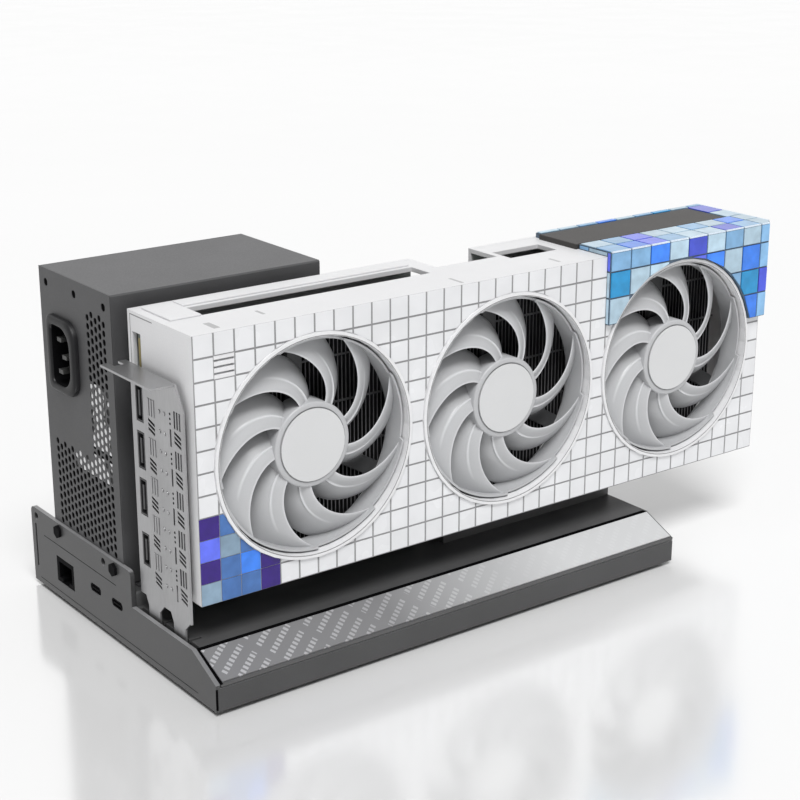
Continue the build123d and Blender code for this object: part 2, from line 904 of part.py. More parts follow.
def card_pcb():
    """Card's board with its edge fingers, key gap and the hook behind them."""
    left = card_left + pcb_left_gap
    outline = rect(left, left + pcb_length, pcb_edge, card_top - pcb_top_gap)
    notch_low = card_bottom + side_notch_top - pcb_left_gap
    outline -= rect(left, card_left + shroud_wall + pcb_left_gap, notch_low, card_top)
    outline -= rect(block_left - hook_gap, left + pcb_length, pcb_edge, raised_top + pcb_above_block)
    fingers_left = slot_left + slot_end_wall + finger_end_fit
    fingers_right = slot_right - slot_end_wall - finger_end_fit
    outline += rect(fingers_left, fingers_right, finger_tip, pcb_edge)
    key_x = slot_left + slot_key_from_end
    key_half = slot_key_width / 2 + finger_end_fit
    outline -= rect(key_x - key_half, key_x + key_half, finger_tip, slot_top + pcb_above_slot / 2)
    low, high = hook_notch_levels()
    hook = rect(hook_left, hook_left + hook_length, pcb_edge - hook_reach, pcb_edge)
    hook -= rect(hook_left + hook_length - hook_notch, hook_left + hook_length, low, high)
    return slab_y(outline + hook, pcb_front, pcb_back)


def gpu_chip():
    x = (fan_xs[0] + fan_xs[1]) / 2
    return slab_y(Pos(x, fan_z) * Rectangle(gpu_size, gpu_size), cold_back, pcb_front)


def cold_plate():
    x = (fan_xs[0] + fan_xs[1]) / 2
    return slab_y(Pos(x, fan_z) * Rectangle(cold_plate_size, cold_plate_size), pipe_back, cold_back)


def heat_pipes():
    """Flattened pipes that run the length of the fins."""
    left = card_left + 2 * fin_end_gap
    right = card_right - 2 * fin_end_gap
    places = [fan_z + (i - (pipe_count - 1) / 2) * pipe_pitch for i in range(pipe_count)]
    section = chamfer(Rectangle(pipe_depth, pipe_width).vertices(), pipe_bevel)
    return group([slab_x(Pos((fin_back + pipe_back) / 2, z) * section, left, right) for z in places])


def fin_stack():
    """Upright fins in a row on one base, seen through the fans and the top openings."""
    left = card_left + fin_end_gap
    count = int((card_right - fin_end_gap - fin_thickness - left) / fin_pitch)
    outline = rect(left, left + count * fin_pitch + fin_thickness, fin_back - fin_base, fin_back)
    outline += [
        rect(left + i * fin_pitch, left + i * fin_pitch + fin_thickness, fin_front, fin_back - fin_base)
        for i in range(count + 1)
    ]
    inset = shroud_wall + fin_side_gap
    return slab_z(outline, card_bottom + inset, card_top - inset)


def card_power_socket():
    """Power socket in the bay in the card's top edge, open upwards."""
    x = card_left + (power_bay[0] + power_bay[1]) / 2
    top = card_top - power_socket_drop
    body = box_between(x - power_socket_width / 2, x + power_socket_width / 2, pcb_front - power_socket_depth,
                       pcb_front, top - power_socket_height, top)
    pitch = power_socket_width / power_socket_cell_count
    cells = Sketch() + [
        Pos(x + (i - (power_socket_cell_count - 1) / 2) * pitch, pcb_front - power_socket_depth * row / 4)
        * Rectangle(power_socket_cell, power_socket_cell)
        for i in range(power_socket_cell_count) for row in (1, 3)
    ]
    return body - slab_z(cells, top - power_socket_cell_depth, top)


# Bracket and display ports

def tongue_middles():
    first = face_y + tongue_behind_face
    return [first, first - tongue_slot_pitch]


def port_places():
    """Middle height and mouth length of each display port, from the top down."""
    places = [(card_bottom + dp_first_rise - i * dp_pitch, dp_length) for i in range(3)]
    return places + [(card_bottom + hdmi_rise, hdmi_length)]


def port_middle_y():
    return pcb_front - port_height / 2 - port_shell


def leaning_bars(y, top):
    """Stacked bars that fall towards the front."""
    bars = []
    for i in range(vent_bar_count):
        high = top - i * (vent_bar_long - vent_bar_lean) / vent_bar_count
        bars.append(polygon(
            (y, high - vent_bar_lean - vent_bar_width),
            (y + vent_bar_wide, high - vent_bar_width),
            (y + vent_bar_wide, high),
            (y, high - vent_bar_lean),
        ))
    return bars


def vent_bars():
    """Columns of upright and leaning bars in turn, between the ports and the bracket's front edge."""
    outer = face_y + vent_outer_column
    single = face_y + vent_single_column
    inner = face_y + vent_inner_column
    bars = []
    for unit in range(vent_unit_count):
        top = card_bottom + vent_top - unit * vent_unit_height
        middle = top - vent_unit_height / 2
        for i in range(vent_bar_count):
            y = outer + i * vent_bar_pitch
            bars.append(rect(y, y + vent_bar_width, top - vent_bar_long, top))
        bars.append(rect(single, single + vent_bar_width, middle - vent_bar_long, middle))
        bars += leaning_bars(outer, middle) + leaning_bars(inner, middle)
    return bars


def bracket_tongue(y):
    """One of the two tongues that stand in the gap along the deck's edge."""
    low = card_bottom - bracket_drop
    tip = card_bottom - tongue_tip_drop
    half = tongue_width / 2
    return polygon(
        (y - half - tongue_neck, low),
        (y - half, low - tongue_neck),
        (y - half, tip + half / 2),
        (y - half / 2, tip),
        (y + half / 2, tip),
        (y + half, tip + half / 2),
        (y + half, low - tongue_neck),
        (y + half + tongue_neck / 2, low),
    )


def io_bracket():
    """Folded bracket: plate with port mouths and vents, two tongues below and a screw tab above."""
    low = card_bottom - bracket_drop
    high = card_bottom + bracket_rise
    front = face_y + bracket_front
    back = face_y + bracket_back
    outline = polygon(
        (front, low),
        (back, low),
        (back, high),
        (front + bracket_corner_run, high),
        (front, high - bracket_corner_drop),
    )
    outline += [bracket_tongue(y) for y in tongue_middles()]
    outline -= vent_bars()
    middle = port_middle_y()
    for z, length in port_places():
        outline -= Pos(middle, z) * Rectangle(port_height + 2 * port_gap, length + 2 * port_gap)
    bracket = slab_x(outline, bracket_x, bracket_x + bracket_sheet)
    tab = rect(tab_left, bracket_x + bracket_sheet, face_y + tab_front, face_y + tab_back)
    notch_x = tab_left + tab_length / 2
    notch_y = face_y + tab_back - tab_notch_depth
    tab -= rect(notch_x - tab_notch_width / 2, notch_x + tab_notch_width / 2, notch_y, face_y + tab_back)
    return bracket + slab_z(tab, high - bracket_sheet, high)


def display_port(z, length):
    """Port shell through the bracket, with a flange behind it and a tongue in its mouth."""
    middle = port_middle_y()
    shell = Pos(middle, z) * Rectangle(port_height, length)
    back_edge = bracket_x + bracket_sheet
    port = slab_x(shell, bracket_x, port_body_length)
    flange = Rectangle(port_height + 2 * port_shell, length + 2 * port_shell)
    port += slab_x(Pos(middle, z) * flange, back_edge, back_edge + port_flange)
    mouth = Pos(middle, z) * Rectangle(port_height - 2 * port_shell, length - 2 * port_shell)
    mouth -= Pos(middle, z) * Rectangle(port_tongue, length - 4 * port_tongue)
    port += slab_x(Pos(middle, z) * Rectangle(port_height + 2 * port_shell, length), port_body_length / 2,
                   port_body_length)
    return port - slab_x(mouth, bracket_x, port_body_length / 2)


# Fans

def quad(a, b, c, d):
    """Two flat triangles between four corners in turn."""
    return [Face(Wire.make_polygon(corners)) for corners in ((a, b, c), (a, c, d))]


def blade(root, tip, chords, pitches, sweep, middle):
    """One swept, twisted, hollowed blade with flat facets, its sections wrapped round the fan's axis."""

    def point(span, strip, side):
        share = span / blade_span_count
        across = strip / blade_strip_count - 0.5
        radius = root + (tip - root) * share
        lean = radians(pitches[0] + (pitches[1] - pitches[0]) * share)
        along = across * (chords[0] + (chords[1] - chords[0]) * share)
        lift = side * blade_thickness / 2 + blade_camber * (1 - 4 * across ** 2)
        swept = radians(sweep) * share ** blade_sweep_exponent
        turn = swept + (along * cos(lean) - lift * sin(lean)) / radius
        return (radius * cos(turn), radius * sin(turn), middle + along * sin(lean) + lift * cos(lean))

    spans = range(blade_span_count)
    strips = range(blade_strip_count)
    skin = []
    for side in (-1, 1):
        for i in spans:
            for j in strips:
                skin += quad(point(i, j, side), point(i + 1, j, side), point(i + 1, j + 1, side),
                             point(i, j + 1, side))
    for j in (0, blade_strip_count):
        for i in spans:
            skin += quad(point(i, j, -1), point(i + 1, j, -1), point(i + 1, j, 1), point(i, j, 1))
    for i in (0, blade_span_count):
        for j in strips:
            skin += quad(point(i, j, -1), point(i, j + 1, -1), point(i, j + 1, 1), point(i, j, 1))
    return Solid(Shell(skin))


def fan_hub(radius, height):
    """Hub with a blind bore for the shaft in its back."""
    hub = slab_z(RegularPolygon(radius, hub_sides), 0, height)
    return hub - slab_z(Circle(shaft_radius + shaft_clearance), 0, shaft_grip)


def fan_place(x):
    """Frame on a fan's axis at the rotor's back, with its Z out of the card's face."""
    return Plane(origin=(x, rotor_back, fan_z), x_dir=(1, 0, 0), z_dir=(0, -1, 0))


def fan_rotor(x):
    """Rotor with swept blades round its hub."""
    root = hub_radius - blade_root_depth
    one = blade(root, rotor_tip, blade_chords, blade_pitch_angles, blade_sweep_angle, hub_height / 2)
    rotor = fan_hub(hub_radius, hub_height)
    rotor += [Rot(0, 0, blade_first_angle + 360 / blade_count * i) * one for i in range(blade_count)]
    return fan_place(x) * rotor


def hub_cap(x):
    outline = RegularPolygon(hub_cap_radius, hub_cap_sides)
    return fan_place(x) * slab_z(outline, hub_height, hub_height + hub_cap_thickness)


def fan_motor(x):
    """Fixed motor: plate with arms to the duct and the shaft that carries the rotor."""
    front = -rotor_back_gap
    plate = RegularPolygon(motor_radius, screw_sides)
    arm = rect(0, fan_opening + fan_rim, -motor_arm_width / 2, motor_arm_width / 2)
    plate += [Rot(0, 0, 90 + 360 / motor_arm_count * i) * arm for i in range(motor_arm_count)]
    motor = slab_z(plate, front - motor_plate, front)
    return fan_place(x) * (motor + slab_z(Circle(shaft_radius), front, shaft_grip - shaft_end_gap))


# Power supply

def psu_vents():
    """Leaning slots in staggered rows: a narrow field beside the inlet and a wide one below it."""
    low = psu_bottom + vent_low_rise
    high = psu_top - vent_high_drop
    wide_top = psu_bottom + vent_wide_rise
    rows = floor((high - low) / vent_pitch_z)
    holes = []
    for row in range(rows):
        z = low + (row + 0.5) * vent_pitch_z
        width = psu_width - 2 * vent_margin if z < wide_top else vent_column_width
        count = floor((width - vent_hole_width) / vent_pitch_y)
        for i in range(count + 1 - row % 2):
            y = psu_front + vent_margin + vent_hole_width / 2 + (i + row % 2 / 2) * vent_pitch_y
            holes.append(leaning_slot(y, z))
    return holes


def leaning_slot(y, z):
    half = vent_hole_width / 2
    rise = vent_hole_height / 2
    return polygon(
        (y - half + vent_hole_lean, z - rise),
        (y + half, z - rise + vent_hole_lean),
        (y + half - vent_hole_lean, z + rise),
        (y - half, z + rise - vent_hole_lean),
    )


def psu_hole_places():
    ys = (psu_front + psu_hole_edge, psu_mid_y, psu_back - psu_hole_edge)
    return [(y, z) for y in ys for z in (plate_hole_z, psu_top - psu_hole_edge)]


def psu_panel():
    """Inlet end of the supply, with its vents and screw holes."""
    panel = rect(psu_front, psu_back, psu_bottom, psu_top)
    panel -= [facet_disc(y, z, psu_hole_radius) for y, z in psu_hole_places()]
    panel -= Pos(inlet_y, inlet_z) * Rectangle(inlet_width + 2 * port_gap, inlet_height + 2 * port_gap)
    return panel - psu_vents()


def psu_case():
    """Folded case, open at the back, with the panel at its inlet end."""
    case = box_between(psu_left, psu_right, psu_front, psu_back - psu_sheet, psu_bottom, psu_top)
    case = chamfer(case.edges().filter_by(Axis.X).group_by(Axis.Y)[0], psu_chamfer)
    case -= box_between(psu_left, psu_right - psu_sheet, psu_front + psu_sheet, psu_back,
                        psu_bottom + psu_sheet, psu_top - psu_sheet)
    panel_area = rect(psu_front + psu_sheet, psu_back - psu_sheet, psu_bottom + psu_sheet,
                      psu_top - psu_sheet)
    case += slab_x(psu_panel() & panel_area, psu_left, psu_left + psu_sheet)
    low, high = socket_field()
    case -= box_between(psu_right - psu_sheet, psu_right, psu_mid_y - socket_width / 2,
                        psu_mid_y + socket_width / 2, low, high)
    for z in (psu_bottom + 2 * psu_board_margin, psu_top - 2 * psu_board_margin - psu_rail_width):
        case += box_between(psu_left + psu_board_margin, psu_right - psu_board_margin,
                            psu_front + psu_sheet / 2, psu_board_front, z, z + psu_rail_width)
    return case


def psu_cover():
    """Back plate of the supply with a round field of slots in front of its fan."""
    outline = rect(psu_left, psu_right, psu_bottom, psu_top)
    pitch = grille_slot + grille_bar
    for i in range(grille_slot_count):
        rise = (i - (grille_slot_count - 1) / 2) * pitch
        half = sqrt(psu_fan_opening ** 2 - rise ** 2)
        z = psu_fan_z + rise
        outline -= rect(psu_fan_x - half, psu_fan_x + half, z - grille_slot / 2, z + grille_slot / 2)
    return slab_y(outline, psu_back - psu_sheet, psu_back)


def psu_screws():
    """Two screws through the side plate into the supply's lower holes."""
    shape = Rot(0, -90, 0) * screw(tray_sheet + psu_screw_reach, psu_screw_radius)
    ys = (psu_front + psu_hole_edge, psu_back - psu_hole_edge)
    return group([Pos(0, y, plate_hole_z) * shape for y in ys])


def inlet_mouth():
    """Mouth outline with two bevelled corners."""
    half_y = inlet_mouth_width / 2
    half_z = inlet_mouth_height / 2
    return polygon(
        (inlet_y - half_y + inlet_mouth_bevel, inlet_z - half_z),
        (inlet_y + half_y, inlet_z - half_z),
        (inlet_y + half_y, inlet_z + half_z),
        (inlet_y - half_y + inlet_mouth_bevel, inlet_z + half_z),
        (inlet_y - half_y, inlet_z + half_z - inlet_mouth_bevel),
        (inlet_y - half_y, inlet_z - half_z + inlet_mouth_bevel),
    )


def inlet_rim():
    """Flange outline with its two front corners cut off."""
    half_y = inlet_width / 2 + inlet_flange_margin
    half_z = inlet_height / 2 + inlet_flange_margin
    return polygon(
        (inlet_y - half_y + inlet_flange_bevel, inlet_z - half_z),
        (inlet_y + half_y, inlet_z - half_z),
        (inlet_y + half_y, inlet_z + half_z),
        (inlet_y - half_y + inlet_flange_bevel, inlet_z + half_z),
        (inlet_y - half_y, inlet_z + half_z - inlet_flange_bevel),
        (inlet_y - half_y, inlet_z - half_z + inlet_flange_bevel),
    )


def mains_inlet():
    """Three-pin inlet: body through the panel behind a flat flange."""
    body = Pos(inlet_y, inlet_z) * Rectangle(inlet_width, inlet_height)
    inlet = slab_x(body & inlet_rim(), psu_left, psu_left + inlet_body_depth)
    inlet += slab_x(inlet_rim(), psu_left - inlet_flange, psu_left)
    return inlet - slab_x(inlet_mouth(), psu_left - inlet_flange, psu_left - inlet_flange + inlet_mouth_depth)


def inlet_pins():
    """Three flat pins that stand on the floor of the inlet's mouth."""
    floor_x = psu_left - inlet_flange + inlet_mouth_depth
    places = [(inlet_y + pin_offset / 2, z) for z in (inlet_z - pin_spread, inlet_z + pin_spread)]
    places.append((inlet_y - pin_offset / 2, inlet_z))
    outline = Rectangle(pin_width, pin_thickness)
    return group([slab_x(Pos(y, z) * outline, floor_x - pin_length, floor_x) for y, z in places])


def psu_fan_frame():
    """Square fan frame with its motor held on four arms at the inner side."""
    half = psu_fan_size / 2
    square = rect(psu_fan_x - half, psu_fan_x + half, psu_fan_z - half, psu_fan_z + half)
    opening = fan_hole(psu_fan_x, psu_fan_z, psu_fan_opening)
    frame = slab_y(square - opening, psu_fan_front, psu_back - psu_sheet)
    arms = facet_disc(psu_fan_x, psu_fan_z, psu_fan_hub)
    for turn in (0, 90):
        arm = Rectangle(2 * psu_fan_opening + psu_fan_back, psu_fan_arm)
        arms += Pos(psu_fan_x, psu_fan_z) * Rot(0, 0, turn) * arm
    frame += slab_y(arms, psu_fan_front, psu_fan_front + psu_fan_back)
    shaft_end = psu_fan_front + psu_fan_back + rotor_back_gap + shaft_grip - shaft_end_gap
    return frame + slab_y(disc(psu_fan_x, psu_fan_z, shaft_radius), psu_fan_front, shaft_end)


def psu_fan_rotor():
    """Small rotor with plain flat blades."""
    height = psu_fan_depth - 2 * psu_fan_back
    low = psu_fan_front + psu_fan_back + rotor_back_gap
    tip = psu_fan_opening - 2 * rotor_tip_gap
    chords = (psu_fan_hub, psu_fan_hub)
    pitches = (psu_fan_pitch_angle, psu_fan_pitch_angle)
    one = blade(psu_fan_hub - blade_root_depth, tip, chords, pitches, 0, height / 2)
    rotor = fan_hub(psu_fan_hub, height)
    rotor += [Rot(0, 0, 360 / psu_fan_blade_count * i) * one for i in range(psu_fan_blade_count)]
    return Plane(origin=(psu_fan_x, low, psu_fan_z), x_dir=(-1, 0, 0), z_dir=(0, 1, 0)) * rotor


def psu_board():
    outline = rect(psu_left + psu_board_margin, psu_right - psu_board_margin, psu_bottom + psu_board_margin,
                   psu_top - psu_board_margin)
    return slab_y(outline, psu_board_front, psu_board_back)


def psu_transformer():
    """Wound transformer: two core blocks round a bobbin."""
    size_x, size_y, size_z = transformer_size
    z = psu_bottom + transformer_rise
    outline = Pos(psu_mid_x, z) * Rectangle(size_x, size_z)
    core = slab_y(outline, psu_board_back, psu_board_back + size_y)
    bobbin = Pos(psu_mid_x, z) * chamfer(Rectangle(bobbin_length, bobbin_width).vertices(), bobbin_bevel)
    return core + slab_y(bobbin, psu_board_back, psu_board_back + bobbin_height)


def psu_capacitor():
    """Bulk storage capacitor, standing on the board."""
    outline = Pos(psu_mid_x, psu_bottom + capacitor_rise) * RegularPolygon(capacitor_radius, capacitor_sides)
    return slab_y(outline, psu_board_back, psu_board_back + capacitor_height)


def psu_heatsink():
    """Finned bar for the switching transistors."""
    z = psu_bottom + psu_sink_rise
    left = psu_mid_x - psu_sink_length / 2
    sink = box_between(left, left + psu_sink_length, psu_board_back, psu_board_back + psu_sink_height, z,
                       z + psu_sink_thickness)
    step = psu_sink_length / psu_sink_fin_count
    for i in range(psu_sink_fin_count):
        x = left + i * step
        sink += box_between(x, x + psu_sink_fin, psu_board_back + psu_sink_height / 2,
                            psu_board_back + psu_sink_height, z, z + psu_sink_fin_rise)
    return sink


def socket_field():
    half = (socket_row_count - 1) / 2 * socket_row_pitch + socket_height / 2
    middle = (psu_bottom + psu_top) / 2
    return (middle - half, middle + half)


def psu_socket_panel():
    """Column of sockets for the supply's leads, behind the window in its far end."""
    middle = (psu_bottom + psu_top) / 2
    low, high = socket_field()
    half = socket_width / 2
    panel = box_between(psu_right - psu_sheet - socket_lip, psu_right - psu_sheet,
                        psu_mid_y - half - socket_lip, psu_mid_y + half + socket_lip, low - socket_lip,
                        high + socket_lip)
    for i in range(socket_row_count):
        z = middle + (i - (socket_row_count - 1) / 2) * socket_row_pitch
        outer = Pos(psu_mid_y, z) * Rectangle(socket_width - 2 * port_gap, socket_height - 2 * port_gap)
        inner = Pos(psu_mid_y, z) * Rectangle(socket_width - 2 * socket_wall, socket_height - 2 * socket_wall)
        panel += slab_x(outer, psu_right - socket_depth, psu_right)
        panel -= slab_x(inner, psu_right - socket_depth + socket_wall, psu_right)
    return panel


def build_parts():
    """Every node of the assembly, by name, in the dock's corner frame."""
    parts = {
        "base_tray": base_tray(),
        "top_cover": top_cover(),
        "slope_trim": slope_trim(),
        "psu_pad": psu_pad(),
        "rubber_feet": rubber_feet(),
        "cover_screws": cover_screws(),
        "main_board": main_board(),
        "board_standoffs": board_standoffs(),
        "controller_chip": controller_chip(),
        "controller_heatsink": controller_heatsink(),
        "m2_socket": m2_socket(),
        "m2_standoff": m2_standoff(),
        "power_header": power_header(),
        "pcie_slot": pcie_slot(),
        "slot_latch": slot_latch(),
        "rj45_jack": rj45_jack(),
        "usb_c_port_front": usb_c_port(usb_front_y),
        "usb_c_port_rear": usb_c_port(usb_rear_y),
        "shroud": shroud(),
        "mosaic_cap": mosaic_cap(),
        "top_bar": top_bar(),
        "backplate": backplate(),
        "card_pcb": card_pcb(),
        "gpu_chip": gpu_chip(),
        "cold_plate": cold_plate(),
        "heat_pipes": heat_pipes(),
        "fin_stack": fin_stack(),
        "card_power_socket": card_power_socket(),
        "io_bracket": io_bracket(),
        "psu_case": psu_case(),
        "psu_cover": psu_cover(),
        "psu_screws": psu_screws(),
        "mains_inlet": mains_inlet(),
        "inlet_pins": inlet_pins(),
        "psu_fan_frame": psu_fan_frame(),
        "psu_fan_rotor": psu_fan_rotor(),
        "psu_board": psu_board(),
        "psu_transformer": psu_transformer(),
        "psu_capacitor": psu_capacitor(),
        "psu_heatsink": psu_heatsink(),
        "psu_socket_panel": psu_socket_panel(),
    }
    for name, (z, length) in zip(("dp_port_1", "dp_port_2", "dp_port_3", "hdmi_port"), port_places()):
        parts[name] = display_port(z, length)
    for side, x in zip(("left", "middle", "right"), fan_xs):
        parts["fan_rotor_" + side] = fan_rotor(x)
        parts["hub_cap_" + side] = hub_cap(x)
        parts["fan_motor_" + side] = fan_motor(x)
    return parts


os.makedirs("parts", exist_ok=True)
for node, shape in build_parts().items():
    export_step(Pos(-middle_x, -middle_y, 0) * shape, "parts/" + node + ".step")
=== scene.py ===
from math import atan2, ceil, cos, hypot, pi, radians, sin, sqrt

import bmesh
import bpy
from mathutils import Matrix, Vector


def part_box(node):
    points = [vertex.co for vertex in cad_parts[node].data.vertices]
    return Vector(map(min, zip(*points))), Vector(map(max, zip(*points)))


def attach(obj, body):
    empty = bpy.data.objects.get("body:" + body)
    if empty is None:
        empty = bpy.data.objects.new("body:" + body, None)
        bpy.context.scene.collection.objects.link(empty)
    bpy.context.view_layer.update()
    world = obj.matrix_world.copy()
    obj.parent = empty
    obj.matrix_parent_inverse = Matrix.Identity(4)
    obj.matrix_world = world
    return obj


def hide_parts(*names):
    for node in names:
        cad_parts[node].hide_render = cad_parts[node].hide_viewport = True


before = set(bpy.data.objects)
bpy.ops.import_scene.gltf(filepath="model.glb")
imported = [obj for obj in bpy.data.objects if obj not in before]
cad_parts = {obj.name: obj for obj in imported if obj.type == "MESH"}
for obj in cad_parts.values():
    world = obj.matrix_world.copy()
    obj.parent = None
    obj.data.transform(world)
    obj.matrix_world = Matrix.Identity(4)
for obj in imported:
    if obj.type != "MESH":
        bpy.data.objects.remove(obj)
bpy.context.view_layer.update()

# Looks of an open dock with a tiled graphics card and a compact power supply.
# Sizes are in millimetres, and MM turns them into the frame's metres.
MM = 0.001

# Camera, in the part's frame
camera_place = (-461.0, -604.3, 328.4)
camera_heading = (0.5686, 0.7607, -0.3131)
camera_lens = 78.0
camera_sensor = 36.0

# Light
sky_light = 0.36
sun_heading = (0.22, 0.45, -0.87)
sun_light = 2.7
sun_softness = 26.0

# Floor
floor_half = 6.0
floor_white = (0.86, 0.86, 0.86)
floor_roughness = (0.12, 0.16)
floor_cloud = 90.0
floor_ior = 3.6

# Tiles of the card's face
tile = 9.2
tile_columns = 34
tile_rows = 12
tile_grout = 0.85
tile_height = 0.35
tile_bevel = 0.12
rim_width = 1.8
rim_proud = 1.2
fan_opening = 45.6
tile_rim_gap = 0.3
tile_slack = 0.1
grout_height = 0.12
least_tile_area = 1.0
least_grout_area = 0.5
louvre_tile = (1, 1)
louvre_wall = 1.9
louvre_sheet = 0.6
patch_columns = 4
patch_first_row = 8
patch_seed = 7
patch_grout = 0.3

# Tiles of the corner cap
cap_tile = 12.1
cap_top_rows = 2
cap_drop_left = 31.0
cap_chamfer = 3.0
cap_grout = 0.8
cap_tile_height = 0.5
cap_tile_bevel = 0.15
cap_thin_bevel = 0.08
cap_edge = 0.7
cap_least_share = 0.25
cap_glint = 0.45
cap_least_area = 2.0
cap_seeds = {"front": 11, "top": 23, "top_back": 24, "top_end": 25, "left": 57, "step": 63, "end": 41}

# Fans
blade_count = 9
blade_thickness = 1.3
blade_camber = 1.0
blade_pitches = (43.0, 21.0)
blade_chords = (14.0, 28.5)
blade_sweep = 42.0
blade_sweep_exponent = 1.4
blade_first_angle = 11.0
blade_edge_exponent = 6
blade_edge_least = 0.03
blade_spans = 24
blade_strips = 18
rib_place = 0.165
rib_half = 0.05
rib_height = 0.75
rib_end = 0.78
rib_stations = (-1.0, -0.4, 0.0, 0.4, 1.0)
# Painted highlight on each blade's rib crest and its flanks, and on its front edge
rib_highlight = 0.6
rib_flank_highlight = 0.7
edge_highlight = 0.55
hub_radius = 18.0
hub_height = 11.0
hub_root = 0.8
hub_edge = 0.7
rotor_tip = 44.8
ring_width = 0.9
ring_back = 1.2
ring_low = 10.8
ring_high = 12.9
ring_step_place = 0.47
ring_steps = 360
lathe_steps = 96
fan_crisp = 38.0
hub_bore = 1.6
hub_bore_depth = 7.0
cap_radius = 15.3
cap_groove = 0.5
# Dark line on each rim, painted shade of the gap between the rim and the rotor
rim_line_radius = 45.8
rim_line_width = 0.4
rim_line_height = 0.04

# Fins behind the fans
fin_pitch = 2.0
fin_thickness = 0.5
fin_base = 2.0
tie_rises = (-30.0, -10.0, 10.0, 30.0)
tie_height = 0.8
tie_depth = 0.5

# Marks on the card's bracket, measured from the card's face and bottom
mark_unit_count = 5
mark_unit_height = 16.4
mark_top = 79.0
mark_bar_count = 3
mark_bar_length = 7.2
mark_bar_width = 1.2
mark_bar_pitch = 2.0
mark_inner_column = 26.0
mark_single_column = 13.6
mark_dot_columns = (18.4, 22.2)
mark_dot_radius = 0.9
mark_height = 0.3
mark_bevel = 0.1
mark_dot_drops = (0.2, 0.7)
pit_radius = 0.55
pit_pitch = 2.0
pit_height = 0.03

# Sheets behind the bracket, each from and to: back from the card's face, then up from its bottom
slot_shade_spot = (5.0, 33.0, 3.0, 79.6)
slot_shade_drop = 1.4
slot_shade_thickness = 0.2
side_corner_spot = (7.0, 18.0, 72.0, 88.0)
side_corner_thickness = 1.0
board_side_rises = (40.0, 100.0)
board_side_half = 0.05

# Tongues in the display ports
tongue_inset = 0.2
tongue_depth = 7.4
tongue_half = 0.8
tongue_margin = 3.0

# Details on the card's top, measured from its left end and its face
block_spot = (4.0, 18.0, 23.0, 46.0)
flange_spot = (18.6, 131.0, 39.0, 47.0)
block_height = 0.9
block_bevel = 0.3
recess_spots = (
    (12.6, 15.4, 4.5, 13.0),
    (38.2, 39.6, 10.5, 16.6),
    (131.0, 132.4, 2.6, 11.6),
    (188.0, 189.4, 6.0, 13.0),
)
recess_height = 0.04

# Seams of the card's left side and of the dock's front corner
seam_width = 0.45
seam_rise = 0.03
seam_reach = 60.0
slit_reach = 18.0
slit_drop = 1.3
corner_seam_width = 0.9
corner_seam_depth = 0.2
corner_seam_ends = (0.8, 1.6)

# Supply's inlet panel
panel_sheet = 0.4
panel_low = 38.1
panel_vent_pitch = (3.5, 3.7)
panel_vent_size = (2.8, 3.0)
panel_vent_edge = 4.8
panel_vent_drop = 9.0
panel_wide_top = 80.5
panel_strip_columns = 5
panel_screw_edge = 6.0
panel_screw_radius = 1.8
panel_screw_cell = 3.9
panel_shade = 0.06
panel_clear = 0.005
panel_hole_sides = 8
panel_least = 0.01
panel_bright_strip = (84.0, 112.0)
panel_bright_rows = (70.5, 80.5)
panel_bright_columns = 10

# Supply's mains inlet: half sizes from its middle, and heights from the panel
inlet_mouth_half = (8.6, 13.0)
inlet_body_half = (10.8, 14.8)
inlet_bevel = 5.0
inlet_round = 3.4
inlet_flange = 3.2
inlet_depth = 16.6
inlet_lap = 3.0
pin_spots = ((2.0, -7.0), (-2.0, 0.0), (2.0, 7.0))
pin_half = (1.9, 0.9)
pin_reach = 4.4
inlet_floor = 0.05
inlet_wall = 2.8
inlet_flange_steps = ((0.0, 1.2), (0.25, 0.6), (0.7, 0.2), (1.4, 0.0))
inlet_mouth_steps = ((0.6, 0.0), (0.2, 0.15), (0.0, 0.5))
inlet_lip = 1.0
inlet_lining = 0.3
inlet_slack = 0.02
inlet_crisp = 40.0

# Slope of the dock, in its section from front to back
slope_foot = 13.5
slope_top = 21.3
slope_depth = 17.7
slope_gap = 1.4
slope_gap_height = 0.05

# Fine pressed lines along the side plate, each from, to and height
plate_line_runs = ((0.0, 68.0, 27.0), (-66.0, 74.0, 4.6))
plate_line_width = 0.3
plate_line_rise = 0.02

# Ways that faces look, and how near to them a face gets a painted highlight
up = (0.0, 0.0, 1.0)
to_front = (0.0, -1.0, 0.0)
highlight_facing = (0.7, 0.95)

# Size of the clouds in the tone of a surface
cloud_size = 30.0

# Colours, in linear light
ink = (0.006, 0.006, 0.0065)
silver = (0.62, 0.63, 0.65)
chalk = (0.735, 0.74, 0.755)
azure = (0.045, 0.22, 0.83)
cobalt = (0.06, 0.09, 0.62)
cyan = (0.02, 0.29, 0.60)
mist = (0.43, 0.58, 0.69)
haze = (0.22, 0.43, 0.68)
violet = (0.03, 0.008, 0.18)
iris = (0.11, 0.15, 0.78)
steel_blue = (0.06, 0.16, 0.42)
slate = (0.22, 0.32, 0.42)
cap_palette = (mist, azure, haze, mist, cobalt, mist, haze, mist, azure, cyan, mist, haze, iris)
corner_palette = (violet, steel_blue, slate, iris, steel_blue, slate, azure, violet)

# Least lift of a tile's colour, and how much more it may be
mosaic_lifts = (0.88, 0.24)
mosaic_lift_seed = 5
white_lifts = (0.97, 0.05)


# Numbers that follow from the frame

def spread(*keys):
    """A steady number from 0 to 1 that looks random."""
    mixed = sin(sum((key + 1.7) * (12.9898 + 65.243 * i) for i, key in enumerate(keys))) * 43758.5453
    return mixed - mixed // 1


def box_of(node):
    """Lowest and highest corner of a node, in millimetres."""
    return [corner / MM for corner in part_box(node)]


